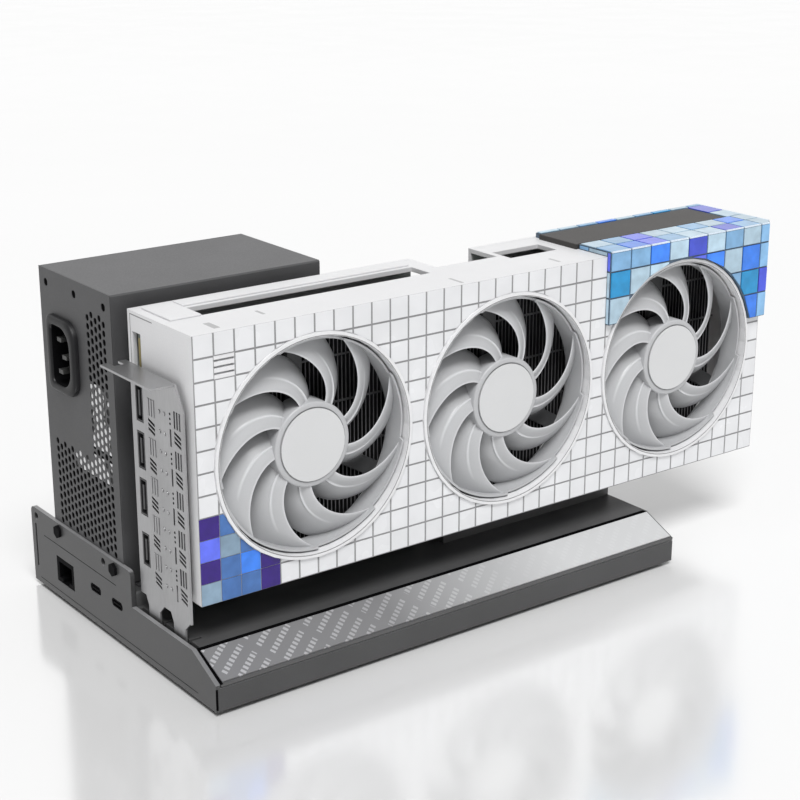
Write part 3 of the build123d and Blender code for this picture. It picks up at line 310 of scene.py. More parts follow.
shroud_low, shroud_high = box_of("shroud")
face_y = shroud_low.y + rim_proud
card_left = shroud_low.x
card_bottom = shroud_low.z
card_top = shroud_high.z
fan_sides = ("left", "middle", "right")
fan_middles = {}
for fan_side in fan_sides:
    low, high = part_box("hub_cap_" + fan_side)
    fan_middles[fan_side] = (low + high) / 2 / MM
rotor_back = box_of("hub_cap_left")[1].y + hub_height


# Materials

looks = {}


def socket(made, key):
    """An input of a material's shader."""
    return made.node_tree.nodes["Principled BSDF"].inputs[key]


def material(name, color, roughness, metallic=0.0, coat=0.0, specular=0.5):
    """A new look, with what is the same all over it."""
    made = looks[name] = bpy.data.materials.new(name)
    made.use_nodes = True
    values = {"Base Color": (*color, 1.0), "Roughness": roughness, "Metallic": metallic, "Coat Weight": coat,
              "Specular IOR Level": specular}
    for key, value in values.items():
        socket(made, key).default_value = value
    return made


def add(made, kind, inputs, **settings):
    """A new node with its settings, where an input is a value or another node's output."""
    fresh = made.node_tree.nodes.new("ShaderNode" + kind)
    for key, value in settings.items():
        setattr(fresh, key, value)
    for key, value in inputs.items():
        if isinstance(value, bpy.types.NodeSocket):
            made.node_tree.links.new(value, fresh.inputs[key])
        else:
            fresh.inputs[key].default_value = value
    return fresh


def feed(made, key, source):
    made.node_tree.links.new(source, socket(made, key))


def place_of(made, stretch=(1.0, 1.0, 1.0), turn=(0.0, 0.0, 0.0)):
    """Coordinates in the part's frame."""
    where = add(made, "TexCoord", {}).outputs["Object"]
    moved = add(made, "Mapping", {"Vector": where, "Scale": stretch, "Rotation": turn})
    return moved.outputs["Vector"]


def noise(made, size, detail=3.0, stretch=(1.0, 1.0, 1.0)):
    """Cloudy pattern with features of about the given size."""
    inputs = {"Vector": place_of(made, stretch), "Scale": 1 / (size * MM), "Detail": detail}
    return add(made, "TexNoise", inputs).outputs["Fac"]


def mapped(made, share, low, high, start=0.3, end=0.7):
    inputs = {"Value": share, "From Min": start, "From Max": end, "To Min": low, "To Max": high}
    return add(made, "MapRange", inputs).outputs["Result"]


def shaded(made, share, dark, light, start=0.3, end=0.7):
    ramp = add(made, "ValToRGB", {"Fac": share})
    for stop, position, color in zip(ramp.color_ramp.elements, (start, end), (dark, light)):
        stop.position = position
        stop.color = (*color, 1.0)
    return ramp.outputs["Color"]


def math(made, operation, *values):
    return add(made, "Math", dict(enumerate(values)), operation=operation).outputs["Value"]


def tinted(made, color, factor):
    """A colour output made lighter or darker by a factor output."""
    mixed = add(made, "VectorMath", {0: color, 3: factor}, operation="SCALE")
    return mixed.outputs["Vector"]


def relief(made, height, depth, edge):
    """Bump of the given depth over edges that are rounded by the given radius."""
    inputs = {"Height": height, "Distance": depth * MM, "Strength": 1.0}
    if edge:
        inputs["Normal"] = add(made, "Bevel", {"Radius": edge * MM}, samples=4).outputs["Normal"]
    feed(made, "Normal", add(made, "Bump", inputs).outputs["Normal"])


def surface(name, color, roughness, grain, depth, edge=0.3, contrast=0.16, metallic=0.0, specular=0.5,
            stretch=(1.0, 1.0, 1.0)):
    """Paint, plastic or metal: cloudy tone, uneven gloss, fine grain and softened edges."""
    made = material(name, color, roughness, metallic, specular=specular)
    dark = [part * (1 - contrast) for part in color]
    light = [min(part * (1 + contrast), 1.0) for part in color]
    fine = noise(made, grain, 4.0, stretch)
    mixed = math(made, "ADD", noise(made, cloud_size), fine)
    feed(made, "Base Color", shaded(made, mapped(made, mixed, 0.0, 1.0, 0.65, 1.35), dark, light, 0.0, 1.0))
    feed(made, "Roughness", mapped(made, fine, roughness * 0.85, min(roughness * 1.15, 1.0)))
    relief(made, fine, depth, edge)


def lifted(made, share, amount):
    """Makes a surface lighter by a share output times an amount."""
    plain = socket(made, "Base Color").links[0].from_socket
    feed(made, "Base Color", tinted(made, plain, math(made, "MULTIPLY_ADD", share, amount, 1.0)))


def painted_attribute_highlight(name, attribute, amount):
    """Paints a highlight on a look where an attribute of the mesh says so."""
    made = looks[name]
    lifted(made, add(made, "Attribute", {}, attribute_name=attribute).outputs["Fac"], amount)


def painted_facing_highlight(name, toward, amount):
    """Paints a highlight on the faces that look one way, making them lighter."""
    made = looks[name]
    normal = add(made, "NewGeometry", {}).outputs["Normal"]
    facing = add(made, "VectorMath", {0: normal, 1: toward}, operation="DOT_PRODUCT")
    lifted(made, mapped(made, facing.outputs["Value"], 0.0, 1.0, *highlight_facing), amount)


def tile_surface(name, roughness, coat, cloud, contrast, depth):
    """Glazed tiles that each bring their own colour."""
    made = material(name, chalk, roughness, coat=coat, specular=0.35)
    own = add(made, "Attribute", {}, attribute_name="tint").outputs["Color"]
    wave = noise(made, cloud, 2.0)
    feed(made, "Base Color", tinted(made, own, mapped(made, wave, 1 - contrast, 1 + contrast)))
    feed(made, "Roughness", mapped(made, wave, roughness * 0.8, roughness * 1.2))
    relief(made, wave, depth, 0.0)


def stripes(made, along, pitch, share):
    """One in bands that fill a share of each pitch, and zero between them."""
    turned = math(made, "FRACT", math(made, "MULTIPLY", along, 1 / (pitch * MM)))
    return math(made, "LESS_THAN", turned, share)


def trim_film():
    """Grey film with slanted rows of short light dashes, lighter towards its right end as painted glare,
    where the dashes fade out.
    """
    dash_turn = -35.0
    # Pitch of the dashes, of their rows and of their groups, and the share of it that each fills
    dash, row, group = (2.3, 0.56), (5.9, 0.38), (21.0, 0.8)
    # Grey at the film's left end, and the lighter grey of painted glare at its right end
    left_grey, right_glare_grey = (0.19, 0.19, 0.195), (0.55, 0.555, 0.56)
    # How much lighter the dashes are at the left end, and at the right end where they fade under the painted
    # glare
    left_lift, right_lift = 1.2, 0.04
    made = material("trim_film", silver, 0.5, metallic=0.1, specular=0.35)
    turned = place_of(made, turn=(0.0, 0.0, radians(dash_turn)))
    slanted = add(made, "SeparateXYZ", {"Vector": turned})
    along = slanted.outputs["X"]
    dashes = math(made, "MULTIPLY", stripes(made, along, *dash), stripes(made, slanted.outputs["Y"], *row))
    dashes = math(made, "MULTIPLY", dashes, stripes(made, along, *group))
    low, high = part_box("slope_trim")
    across = add(made, "SeparateXYZ", {"Vector": place_of(made)}).outputs["X"]
    rightness = mapped(made, across, 0.0, 1.0, low.x, high.x)
    plain = shaded(made, rightness, left_grey, right_glare_grey, 0.35, 0.75)
    glare_fade = mapped(made, rightness, left_lift, right_lift, 0.1, 0.62)
    feed(made, "Base Color", tinted(made, plain, math(made, "MULTIPLY_ADD", dashes, glare_fade, 1.0)))
    fine = noise(made, 0.4)
    feed(made, "Roughness", mapped(made, fine, 0.46, 0.56))
    relief(made, fine, 0.004, 0.2)


def inner_metal(name, size):
    """Bright and dark patches, as inner parts look through vents."""
    made = material(name, silver, 0.45)
    patches = noise(made, size, 2.0)
    feed(made, "Base Color", shaded(made, patches, ink, (0.80, 0.80, 0.81), 0.40, 0.46))
    feed(made, "Roughness", mapped(made, patches, 0.6, 0.4))


def pebbled(name, color, size, depth, roughness):
    """Rough moulded pad: packed round grains."""
    made = material(name, color, roughness)
    inputs = {"Vector": place_of(made), "Scale": 1 / (size * MM)}
    cells = add(made, "TexVoronoi", inputs).outputs["Distance"]
    # The grains are painted lighter at their middles and darker between them: painted light and shade
    dark = [part * 0.55 for part in color]
    light = [part * 1.5 for part in color]
    feed(made, "Base Color", shaded(made, cells, light, dark, 0.1, 0.7))
    feed(made, "Roughness", mapped(made, noise(made, 12.0), roughness * 0.9, roughness))
    height = mapped(made, cells, 1.0, 0.0, 0.0, 0.8)
    relief(made, height, depth, 0.3)


def circuit_board(name, color, track):
    """Lacquered board with a network of slightly lighter tracks."""
    made = material(name, color, 0.35, coat=0.3)
    inputs = {"Vector": place_of(made), "Scale": 1 / MM, "Mortar Size": 0.12, "Brick Width": 4.2,
              "Row Height": 1.3}
    tracks = add(made, "TexBrick", inputs).outputs["Fac"]
    feed(made, "Base Color", shaded(made, tracks, color, track, 0.0, 1.0))
    fine = noise(made, 2.0)
    feed(made, "Roughness", mapped(made, fine, 0.3, 0.42))
    relief(made, tracks, 0.03, 0.2)


surface("dock_paint", (0.042, 0.042, 0.043), 0.40, 0.35, 0.010)
# Upward faces, such as the side plate's top edges, get a painted highlight
painted_facing_highlight("dock_paint", up, 4.0)
surface("dock_plastic", (0.070, 0.070, 0.071), 0.46, 0.45, 0.016, edge=0.5)
surface("psu_paint", (0.054, 0.054, 0.056), 0.50, 0.5, 0.012, edge=0.5)
# The supply's top gets a painted highlight
painted_facing_highlight("psu_paint", up, 0.5)
surface("panel_paint", (0.050, 0.050, 0.052), 0.50, 0.5, 0.012, edge=0.0)
pebbled("pad_plastic", (0.040, 0.040, 0.042), 1.1, 0.25, 0.75)
surface("rubber", ink, 0.85, 0.8, 0.03)
surface("screw_steel", (0.005, 0.005, 0.0055), 0.7, 0.2, 0.004, specular=0.04)
circuit_board("board_green", (0.010, 0.030, 0.018), (0.020, 0.060, 0.034))
circuit_board("board_black", (0.012, 0.013, 0.014), (0.030, 0.032, 0.034))
surface("brass", (0.60, 0.40, 0.17), 0.28, 0.6, 0.004, metallic=1.0)
surface("copper", (0.66, 0.32, 0.20), 0.26, 1.5, 0.006, metallic=1.0)
surface("chip_plastic", (0.020, 0.020, 0.022), 0.48, 0.3, 0.01)
surface("aluminium", (0.62, 0.62, 0.64), 0.33, 0.5, 0.006, metallic=1.0, stretch=(1.0, 0.08, 1.0))
surface("socket_plastic", (0.012, 0.012, 0.013), 0.44, 0.4, 0.008, edge=0.2)
surface("inlet_plastic", (0.010, 0.010, 0.011), 0.40, 0.6, 0.002, edge=0.0, specular=0.22)
# Near black for the RJ45 jack and the inlet's lining, and as painted shade over the USB-C ports' metal shells
surface("port_black", (0.003, 0.003, 0.0035), 0.7, 0.4, 0.004, edge=0.0, specular=0.05)
# Port shells darkened, as painted shade of the ports' mouths
surface("port_shell", (0.06, 0.06, 0.062), 0.42, 0.3, 0.004, edge=0.1, metallic=0.6)
# Pins darkened, as painted shade inside the inlet's mouth
surface("pin_nickel", (0.045, 0.045, 0.044), 0.45, 0.3, 0.002, edge=0.2, metallic=0.25)
# Black for gaps and seams, and for the sheets and marks of painted shade
surface("gap_and_shade_black", (0.002, 0.002, 0.0022), 0.9, 0.8, 0.01, edge=0.0, specular=0.02)
inner_metal("inner_silver", 7.0)
surface("board_side", (0.26, 0.21, 0.08), 0.6, 0.8, 0.01, edge=0.0)
surface("tie_steel", (0.20, 0.20, 0.205), 0.45, 0.5, 0.006, edge=0.0, metallic=0.5)
surface("card_white", (0.74, 0.74, 0.75), 0.40, 0.6, 0.006, edge=0.4, contrast=0.04)
# Grey of the tile joints and seams, and of the painted shade round the fan rims
surface("grout_and_shade_grey", (0.27, 0.27, 0.275), 0.75, 0.4, 0.02, edge=0.0)
surface("recess_grey", (0.46, 0.46, 0.465), 0.6, 0.4, 0.01, edge=0.0)
surface("cap_resin", (0.075, 0.115, 0.165), 0.20, 2.0, 0.01, contrast=0.3, specular=0.35)
# Pale glass coloured as painted glints of light along the cap's edges
surface("glint_glass", (0.66, 0.76, 0.86), 0.12, 1.0, 0.004, edge=0.2, contrast=0.12)
surface("bar_plastic", (0.050, 0.047, 0.045), 0.50, 0.4, 0.01, specular=0.2)
surface("fin_black", (0.035, 0.035, 0.036), 0.38, 0.5, 0.006, edge=0.0, metallic=0.3)
# The fins' front edges get a painted highlight
painted_facing_highlight("fin_black", to_front, 6.5)
surface("bracket_steel", (0.36, 0.36, 0.365), 0.36, 0.35, 0.004, edge=0.2, metallic=0.85,
        stretch=(1.0, 1.0, 0.06))
surface("fan_plastic", (0.45, 0.455, 0.465), 0.34, 0.5, 0.004, edge=0.0, contrast=0.03)
# Blades get a painted highlight along their raised ribs and their front edges
painted_attribute_highlight("fan_plastic", "rib", rib_highlight)
surface("cap_plastic", (0.61, 0.615, 0.62), 0.42, 0.4, 0.006, edge=0.0, contrast=0.03)
surface("motor_plastic", (0.085, 0.086, 0.088), 0.5, 0.6, 0.01)
surface("fan_black", (0.030, 0.030, 0.032), 0.5, 0.6, 0.01)
surface("winding_tape", (0.40, 0.26, 0.05), 0.45, 1.2, 0.02)
tile_surface("white_tiles", 0.24, 0.25, 14.0, 0.035, 0.01)
tile_surface("glass_tiles", 0.14, 0.1, 5.0, 0.12, 0.03)
trim_film()

# Nodes that wear each look
dressed = {
    "dock_paint": "base_tray",
    "dock_plastic": "top_cover",
    "trim_film": "slope_trim",
    "pad_plastic": "psu_pad",
    "rubber": "rubber_feet",
    "screw_steel": "cover_screws psu_screws",
    "board_green": "card_pcb psu_board",
    "board_black": "main_board",
    "brass": "board_standoffs m2_standoff",
    "copper": "cold_plate heat_pipes",
    "chip_plastic": "controller_chip gpu_chip",
    "aluminium": "controller_heatsink psu_heatsink",
    "socket_plastic": "m2_socket power_header pcie_slot slot_latch card_power_socket psu_socket_panel",
    "port_black": "rj45_jack usb_c_port_front usb_c_port_rear",
    "inlet_plastic": "mains_inlet",
    "port_shell": "dp_port_1 dp_port_2 dp_port_3 hdmi_port",
    "pin_nickel": "inlet_pins",
    "card_white": "shroud backplate",
    "cap_resin": "mosaic_cap",
    "bar_plastic": "top_bar",
    "fin_black": "fin_stack",
    "bracket_steel": "io_bracket",
    "fan_plastic": "fan_rotor_left fan_rotor_middle fan_rotor_right",
    "cap_plastic": "hub_cap_left hub_cap_middle hub_cap_right",
    "motor_plastic": "fan_motor_left fan_motor_middle fan_motor_right",
    "fan_black": "psu_fan_frame psu_fan_rotor",
    "psu_paint": "psu_case psu_cover",
    "winding_tape": "psu_transformer psu_capacitor",
}
for look, nodes in dressed.items():
    for node in nodes.split():
        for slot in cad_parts[node].material_slots:
            slot.material = looks[look]


# Pieces

def put(name, data):
    """A new object in the scene."""
    thing = bpy.data.objects.new(name, data)
    bpy.context.scene.collection.objects.link(thing)
    return thing


def piece(name, points, faces, look, body, slot, crisp=0.0):
    """A mesh in the part's frame that rides on a body, smooth up to the crisp angle between its faces."""
    mesh = bpy.data.meshes.new(name)
    mesh.from_pydata([Vector(point) * MM for point in points], [], faces)
    mesh.materials.append(looks[look])
    shape = bmesh.new()
    shape.from_mesh(mesh)
    bmesh.ops.recalc_face_normals(shape, faces=shape.faces)
    shape.to_mesh(mesh)
    shape.free()
    thing = put(name, mesh)
    if crisp:
        mesh.shade_smooth()
        thing.modifiers.new("crisp", "EDGE_SPLIT").split_angle = radians(crisp)
    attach(thing, body)
    return thing


def skin(loops, points, faces, closed=False):
    """Adds a shape through loops of points, flat at both ends or closed from the last loop to the first."""
    count = len(loops[0])
    firsts = [len(points) + i * count for i in range(len(loops))]
    points += [point for loop in loops for point in loop]
    for here, there in zip(firsts, firsts[1:] + firsts[:1] * closed):
        for i in range(count):
            j = (i + 1) % count
            faces.append([here + i, here + j, there + j, there + i])
    if not closed:
        faces += [[firsts[0] + i for i in reversed(range(count))], [firsts[-1] + i for i in range(count)]]


def boxes(name, corners, look, slot):
    """Plain blocks in one piece, each from a low corner to a high corner."""
    points, faces = [], []
    for (x0, y0, z0), (x1, y1, z1) in corners:
        outline = square(x0, x1, y0, y1)
        skin([[(x, y, z) for x, y in outline] for z in (z0, z1)], points, faces)
    return piece(name, points, faces, look, "dock", slot)


def on(axis, level, way=1.0):
    """A function that places spots on a plane square to an axis, with their height one way along it."""
    def place(u, v, height):
        spot = [u, v]
        spot.insert(axis, level + way * height)
        return spot
    return place


def square(u0, u1, v0, v1, gap=0.0):
    """Outline of a rectangle, with half a gap left off all round."""
    half = gap / 2
    return [(u0 + half, v0 + half), (u1 - half, v0 + half), (u1 - half, v1 - half), (u0 + half, v1 - half)]


def outside_circle(outline, middle, radius, splits=8):
    """The part of an outline outside a circle, with the cut following the arc."""
    fine = []
    for i, (u, v) in enumerate(outline):
        nu, nv = outline[(i + 1) % len(outline)]
        fine += [(u + (nu - u) * k / splits, v + (nv - v) * k / splits) for k in range(splits)]
    away = [hypot(u - middle[0], v - middle[1]) - radius for u, v in fine]
    if min(away) >= 0:
        return outline
    kept = []
    for i, (u, v) in enumerate(fine):
        j = (i + 1) % len(fine)
        if away[i] >= 0:
            kept.append((u, v))
        if away[i] * away[j] < 0:
            share = away[i] / (away[i] - away[j])
            kept.append((u + (fine[j][0] - u) * share, v + (fine[j][1] - v) * share))
    return kept if len(kept) > 2 else []


def area_of(outline):
    """Area inside an outline."""
    pairs = zip(outline, outline[1:] + outline[:1])
    return abs(sum(u * next_v - next_u * v for (u, v), (next_u, next_v) in pairs)) / 2


def plates(name, outlines, place, height, look, slot, tints=None, bevel=0.0):
    """Thin flat plates on a plane, each with its own colour, and with softened edges."""
    points, faces, colors = [], [], []
    for outline, tint in zip(outlines, tints or [chalk] * len(outlines)):
        start = len(faces)
        skin([[place(u, v, rise) for u, v in outline] for rise in (0.0, height)], points, faces)
        colors += [tint] * sum(len(face) for face in faces[start:])
    thing = piece(name, points, faces, look, "dock", slot)
    layer = thing.data.attributes.new("tint", "FLOAT_COLOR", "CORNER")
    for entry, color in zip(layer.data, colors):
        entry.color = (*color, 1.0)
    if bevel:
        edges = thing.modifiers.new("edges", "BEVEL")
        edges.width = bevel * MM
        edges.segments = 2
        edges.limit_method = "ANGLE"


def varied(color, lifts, *keys):
    """A colour made a little lighter or darker."""
    lift = lifts[0] + lifts[1] * spread(*keys)
    return tuple(part * lift for part in color)


def mosaic_tint(palette, *keys):
    """A blue from a palette, a little lighter or darker."""
    color = palette[int(spread(*keys) * len(palette))]
    return varied(color, mosaic_lifts, keys[-1], keys[0], mosaic_lift_seed)


def face_top(column):
    """Where the tiles of a column end under the corner cap."""
    left = card_left + tile * column
    if left < cap_low.x - tile_slack:
        return card_top
    return card_top - cap_drop_left if left < fan_middles["right"].x - tile_slack else cap_low.z


cap_low, cap_high = box_of("mosaic_cap")
on_face = on(1, face_y, -1.0)
rim_radius = fan_opening + rim_width + tile_rim_gap


def face_cells(gap, patch_gap, least_area):
    """Each tile of the face: its column, row, whether it is blue, and its outline clear of cap and fans."""
    for column in range(tile_columns):
        for row in range(tile_rows):
            left = card_left + tile * column
            top = min(card_top - tile * row, face_top(column))
            bottom = card_top - tile * (row + 1)
            if (column, row) == louvre_tile or top <= bottom or top - bottom < 2 * gap:
                continue
            blue = column < patch_columns and row >= patch_first_row
            joint = patch_gap if blue else gap
            outline = square(left, left + tile, bottom, top + joint / 2 if top == card_top else top, joint)
            for middle in fan_middles.values():
                outline = outside_circle(outline, (middle.x, middle.z), rim_radius) if outline else []
            if outline and area_of(outline) >= least_area:
                yield column, row, blue, outline


def face_tiles():
    """White tiles of the face, the blue ones in its corner and the grey joints between them."""
    white_outlines, white_tints, blue_outlines, blue_tints = [], [], [], []
    for column, row, blue, outline in face_cells(tile_grout, patch_grout, least_tile_area):
        if blue:
            blue_outlines.append(outline)
            blue_tints.append(mosaic_tint(corner_palette, column, row, patch_seed))
        else:
            white_outlines.append(outline)
            white_tints.append(varied(chalk, white_lifts, column, row))
    plates("face_tiles", white_outlines, on_face, tile_height, "white_tiles", "shroud_white", white_tints,
           tile_bevel)
    plates("corner_tiles", blue_outlines, on_face, tile_height, "glass_tiles", "tile_glaze", blue_tints,
           tile_bevel)
    joints = [outline for column, row, blue, outline in face_cells(0.0, 0.0, least_grout_area)]
    plates("tile_grout", joints, on_face, grout_height, "grout_and_shade_grey", "shroud_white")


def louvre_back():
    """White sheet behind the louvre slots."""
    left = card_left + tile * louvre_tile[0]
    top = card_top - tile * louvre_tile[1]
    back = face_y + louvre_wall
    boxes("louvre_back", [((left, back, top - tile), (left + tile, back + louvre_sheet, top))], "card_white",
          "shroud_white")


face_tiles()
louvre_back()


def card_top_details():
    """Raised block and flange, and the shadow lines of the shallow recesses in the front strip."""
    def outlines(spots):
        return [square(card_left + x0, card_left + x1, face_y + y0, face_y + y1) for x0, x1, y0, y1 in spots]

    on_top = on(2, card_top)
    plates("top_steps", outlines((block_spot, flange_spot)), on_top, block_height, "card_white",
           "shroud_white", bevel=block_bevel)
    plates("top_recess_lines", outlines(recess_spots), on_top, recess_height, "recess_grey", "shroud_white")


def side_seams():
    """Seam between the back cover and the card's left side, and the slit under its top flange."""
    back = box_of("backplate")[0].y
    slit_top = card_top - slit_drop
    runs = ((back - seam_width, back, card_top - seam_reach, slit_top),
            (back - slit_reach, back - seam_width, slit_top - seam_width, slit_top))
    boxes("side_seams", [((card_left - seam_rise, y0, z0), (card_left, y1, z1)) for y0, y1, z0, z1 in runs],
          "grout_and_shade_grey", "shroud_white")


card_top_details()
side_seams()


# Corner cap tiles

def cells(low, high, pitch):
    """Bounds of the cells of a row of tiles, the last one cut to fit."""
    count = ceil((high - low) / pitch - cap_least_share)
    bounds = [low + pitch * i for i in range(count)] + [high]
    return list(zip(bounds, bounds[1:]))


def cap_side(side, columns, rows, place, bevel=cap_tile_bevel, shape=None):
    """Glass tiles in a grid on one side of the cap, their outlines shaped to fit what they meet."""
    outlines, tints = [], []
    for column, (u0, u1) in enumerate(columns):
        for row, (v0, v1) in enumerate(rows):
            outline = square(u0, u1, v0, v1, cap_grout)
            outline = shape(outline) if shape else outline
            if outline:
                outlines.append(outline)
                tints.append(mosaic_tint(cap_palette, column, row, cap_seeds[side]))
    plates("cap_tiles_" + side, outlines, place, cap_tile_height, "glass_tiles", "tile_glaze", tints, bevel)


def round_fan(outline):
    """The part of a front tile outside the fan's rim, and nothing where the cap ends above it."""
    middle = fan_middles["right"]
    (u0, v0), (u1, v1) = outline[0], outline[2]
    if (u0 + u1) / 2 < middle.x and (v0 + v1) / 2 < card_top - cap_drop_left:
        return []
    outline = outside_circle(outline, (middle.x, middle.z), rim_radius + cap_edge)
    return outline if area_of(outline) > cap_least_area else []


def chamfered(outline):
    """A top tile, with the cap's right front corner cut off."""
    u, v = outline[1]
    if u > cap_high.x - cap_chamfer and v < cap_low.y + cap_chamfer:
        outline[1:2] = [(u - cap_chamfer, v), (u, v + cap_chamfer)]
    return outline


def cap_tiles():
    """Glass tiles on the front, the top, the left step and the end of the cap."""
    on_top, on_left = on(2, cap_high.z), on(0, cap_low.x, -0.5)
    corner = cap_high.x - cap_chamfer
    rows = cells(cap_low.z, cap_high.z, cap_tile)
    cap_side("front", cells(cap_low.x, corner, cap_tile), rows, on(1, cap_low.y, -1.0), shape=round_fan)
    bar_low, bar_high = box_of("top_bar")
    front_edge, back_edge, end_edge = bar_low.y - cap_edge, bar_high.y + cap_edge, bar_high.x + cap_edge
    along = cells(cap_low.x, cap_high.x, cap_tile)
    top_rows = cells(cap_low.y, front_edge, (front_edge - cap_low.y) / cap_top_rows)
    cap_side("top", along, top_rows, on_top, shape=chamfered)
    cap_side("top_back", along, [(back_edge, cap_high.y)], on_top)
    cap_side("top_end", [(end_edge, cap_high.x)], cells(front_edge, back_edge, cap_tile), on_top)
    cap_side("left", [(cap_low.y, face_y)], rows[1:], on_left, cap_thin_bevel)
    cap_side("step", cells(face_y, front_edge, cap_tile), [(card_top, cap_high.z)], on_left, cap_thin_bevel)
    across = cells(cap_low.y + cap_chamfer, cap_high.y, cap_tile)
    cap_side("end", across, rows, on(0, cap_high.x))
    half = cap_grout / 2
    # Pale boxes along the cap's top front edge and its end, one for each tile: painted glints of light on the
    # glass
    low_z, high_z = cap_high.z - cap_glint / 2, cap_high.z + cap_glint
    glints = [((x0 + half, cap_low.y - cap_glint, low_z), (min(x1, corner) - half, cap_low.y + half, high_z))
             for x0, x1 in along]
    glints += [((cap_high.x - half, y0 + half, low_z), (cap_high.x + cap_glint, y1 - half, high_z))
              for y0, y1 in across]
    boxes("cap_edge_glints", glints, "glint_glass", "tile_glaze")


cap_tiles()


# Fans

def lathe(profile, steps, points, faces):
    """Adds a closed profile of radius and height, turned about the fan's axis, to a mesh."""
    angles = [2 * pi * step / steps for step in range(steps)]
    skin([[(radius * cos(angle), radius * sin(angle), height) for radius, height in profile]
          for angle in angles], points, faces, closed=True)


def blade_point(share, across, side):
    """A point of a blade's skin: share from root to tip, across from the back edge to the front edge."""
    root = hub_radius - hub_root
    radius = root + (rotor_tip - ring_width / 2 - root) * share
    lean = radians(blade_pitches[0] + (blade_pitches[1] - blade_pitches[0]) * share)
    along = across * (blade_chords[0] + (blade_chords[1] - blade_chords[0]) * share)
    thin = sqrt(max(1 - (2 * abs(across)) ** blade_edge_exponent, blade_edge_least))
    lift = side * thin * blade_thickness / 2 + blade_camber * (1 - 4 * across ** 2)
    if side > 0:
        near = max(1 - abs(across - rib_place) / rib_half, 0.0)
        lift += rib_height * near * max(1 - share / rib_end, 0.0)
    turn = radians(blade_sweep) * share ** blade_sweep_exponent
    turn += (along * cos(lean) - lift * sin(lean)) / radius
    return (radius * cos(turn), radius * sin(turn), hub_height / 2 + along * sin(lean) + lift * cos(lean))


def blade_stations():
    """Places across a blade, closer together at its rib."""
    plain = [i / blade_strips - 0.5 for i in range(blade_strips + 1)]
    plain = [across for across in plain if abs(across - rib_place) > rib_half]
    return sorted(plain + [rib_place + rib_half * step for step in rib_stations])


def blade_mesh(turn, points, faces, highlights):
    """Adds a blade to a mesh, and says how strong the painted highlight on its rib and its front edge is."""
    stations = blade_stations()
    around = [(across, 1) for across in stations] + [(across, -1) for across in reversed(stations)]
    loops = []
    for i in range(blade_spans + 1):
        share = i / blade_spans
        loop = [blade_point(share, across, side) for across, side in around]
        loops.append([(x * cos(turn) - y * sin(turn), x * sin(turn) + y * cos(turn), z) for x, y, z in loop])
        first = len(points) + i * len(around)
        crest = first + stations.index(rib_place)
        edge = first + len(stations) - 1
        # Painted highlight on the rib, fading out towards the tip, and on the front edge
        fade = sqrt(max(1 - share / rib_end, 0.0))
        highlights.update({crest - 1: fade * rib_flank_highlight, crest: fade, crest + 1: fade * rib_flank_highlight})
        highlights.update({edge: edge_highlight, edge + 1: edge_highlight})
    skin(loops, points, faces)


def tip_ring(points, faces):
    """Thin ring that joins the blade tips, its front edge stepped once for each blade."""
    loops = []
    inner = rotor_tip - ring_width
    tip_turn = blade_sweep + blade_first_angle
    reach = 360 / blade_count
    for step in range(ring_steps):
        angle = 360 * step / ring_steps
        climb = ((angle - tip_turn) / reach - ring_step_place) % 1.0
        top = ring_low + (ring_high - ring_low) * climb
        c, s = cos(radians(angle)), sin(radians(angle))
        loops.append([(inner * c, inner * s, ring_back), (rotor_tip * c, rotor_tip * s, ring_back),
                      (rotor_tip * c, rotor_tip * s, top), (inner * c, inner * s, top)])
    skin(loops, points, faces, closed=True)


def fan_wheel(fan_side):
    """Visual rotor: rounded hub, smooth blades and the ring round their tips."""
    middle = fan_middles[fan_side]
    points, faces, highlights = [], [], {}
    groove = cap_radius + cap_groove
    lathe([(hub_bore, 0.0), (hub_radius, 0.0), (hub_radius, hub_height - hub_edge),
           (hub_radius - hub_edge / 3, hub_height - hub_edge / 3), (hub_radius - hub_edge, hub_height),
           (groove, hub_height), (groove, hub_height - cap_groove), (hub_bore, hub_height - cap_groove),
           (hub_bore, hub_bore_depth)], lathe_steps, points, faces)
    for i in range(blade_count):
        blade_mesh(radians(blade_first_angle) + 2 * pi * i / blade_count, points, faces, highlights)
    tip_ring(points, faces)
    placed = [(middle.x + x, rotor_back - z, middle.z + y) for x, y, z in points]
    wheel = piece("fan_wheel_" + fan_side, placed, faces, "fan_plastic", "fan_" + fan_side, "fan_plastic",
                  fan_crisp)
    # Painted highlight of the ribs and front edges, point by point
    layer = wheel.data.attributes.new("rib", "FLOAT", "POINT")
    for index, value in highlights.items():
        layer.data[index].value = value
    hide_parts("fan_rotor_" + fan_side)


def rim_lines():
    """Thin dark line round each fan's rim: painted shade of the narrow gap between the rim and the rotor."""
    points, faces = [], []
    outer = rim_line_radius + rim_line_width
    for middle in fan_middles.values():
        first = len(points)
        lathe([(rim_line_radius, 0.0), (outer, 0.0), (outer, rim_line_height),
               (rim_line_radius, rim_line_height)], lathe_steps, points, faces)
        points[first:] = [(middle.x + x, shroud_low.y - z, middle.z + y) for x, y, z in points[first:]]
    piece("rim_lines", points, faces, "grout_and_shade_grey", "dock", "shroud_white")


for fan_side in fan_sides:
    fan_wheel(fan_side)
rim_lines()


# Fins

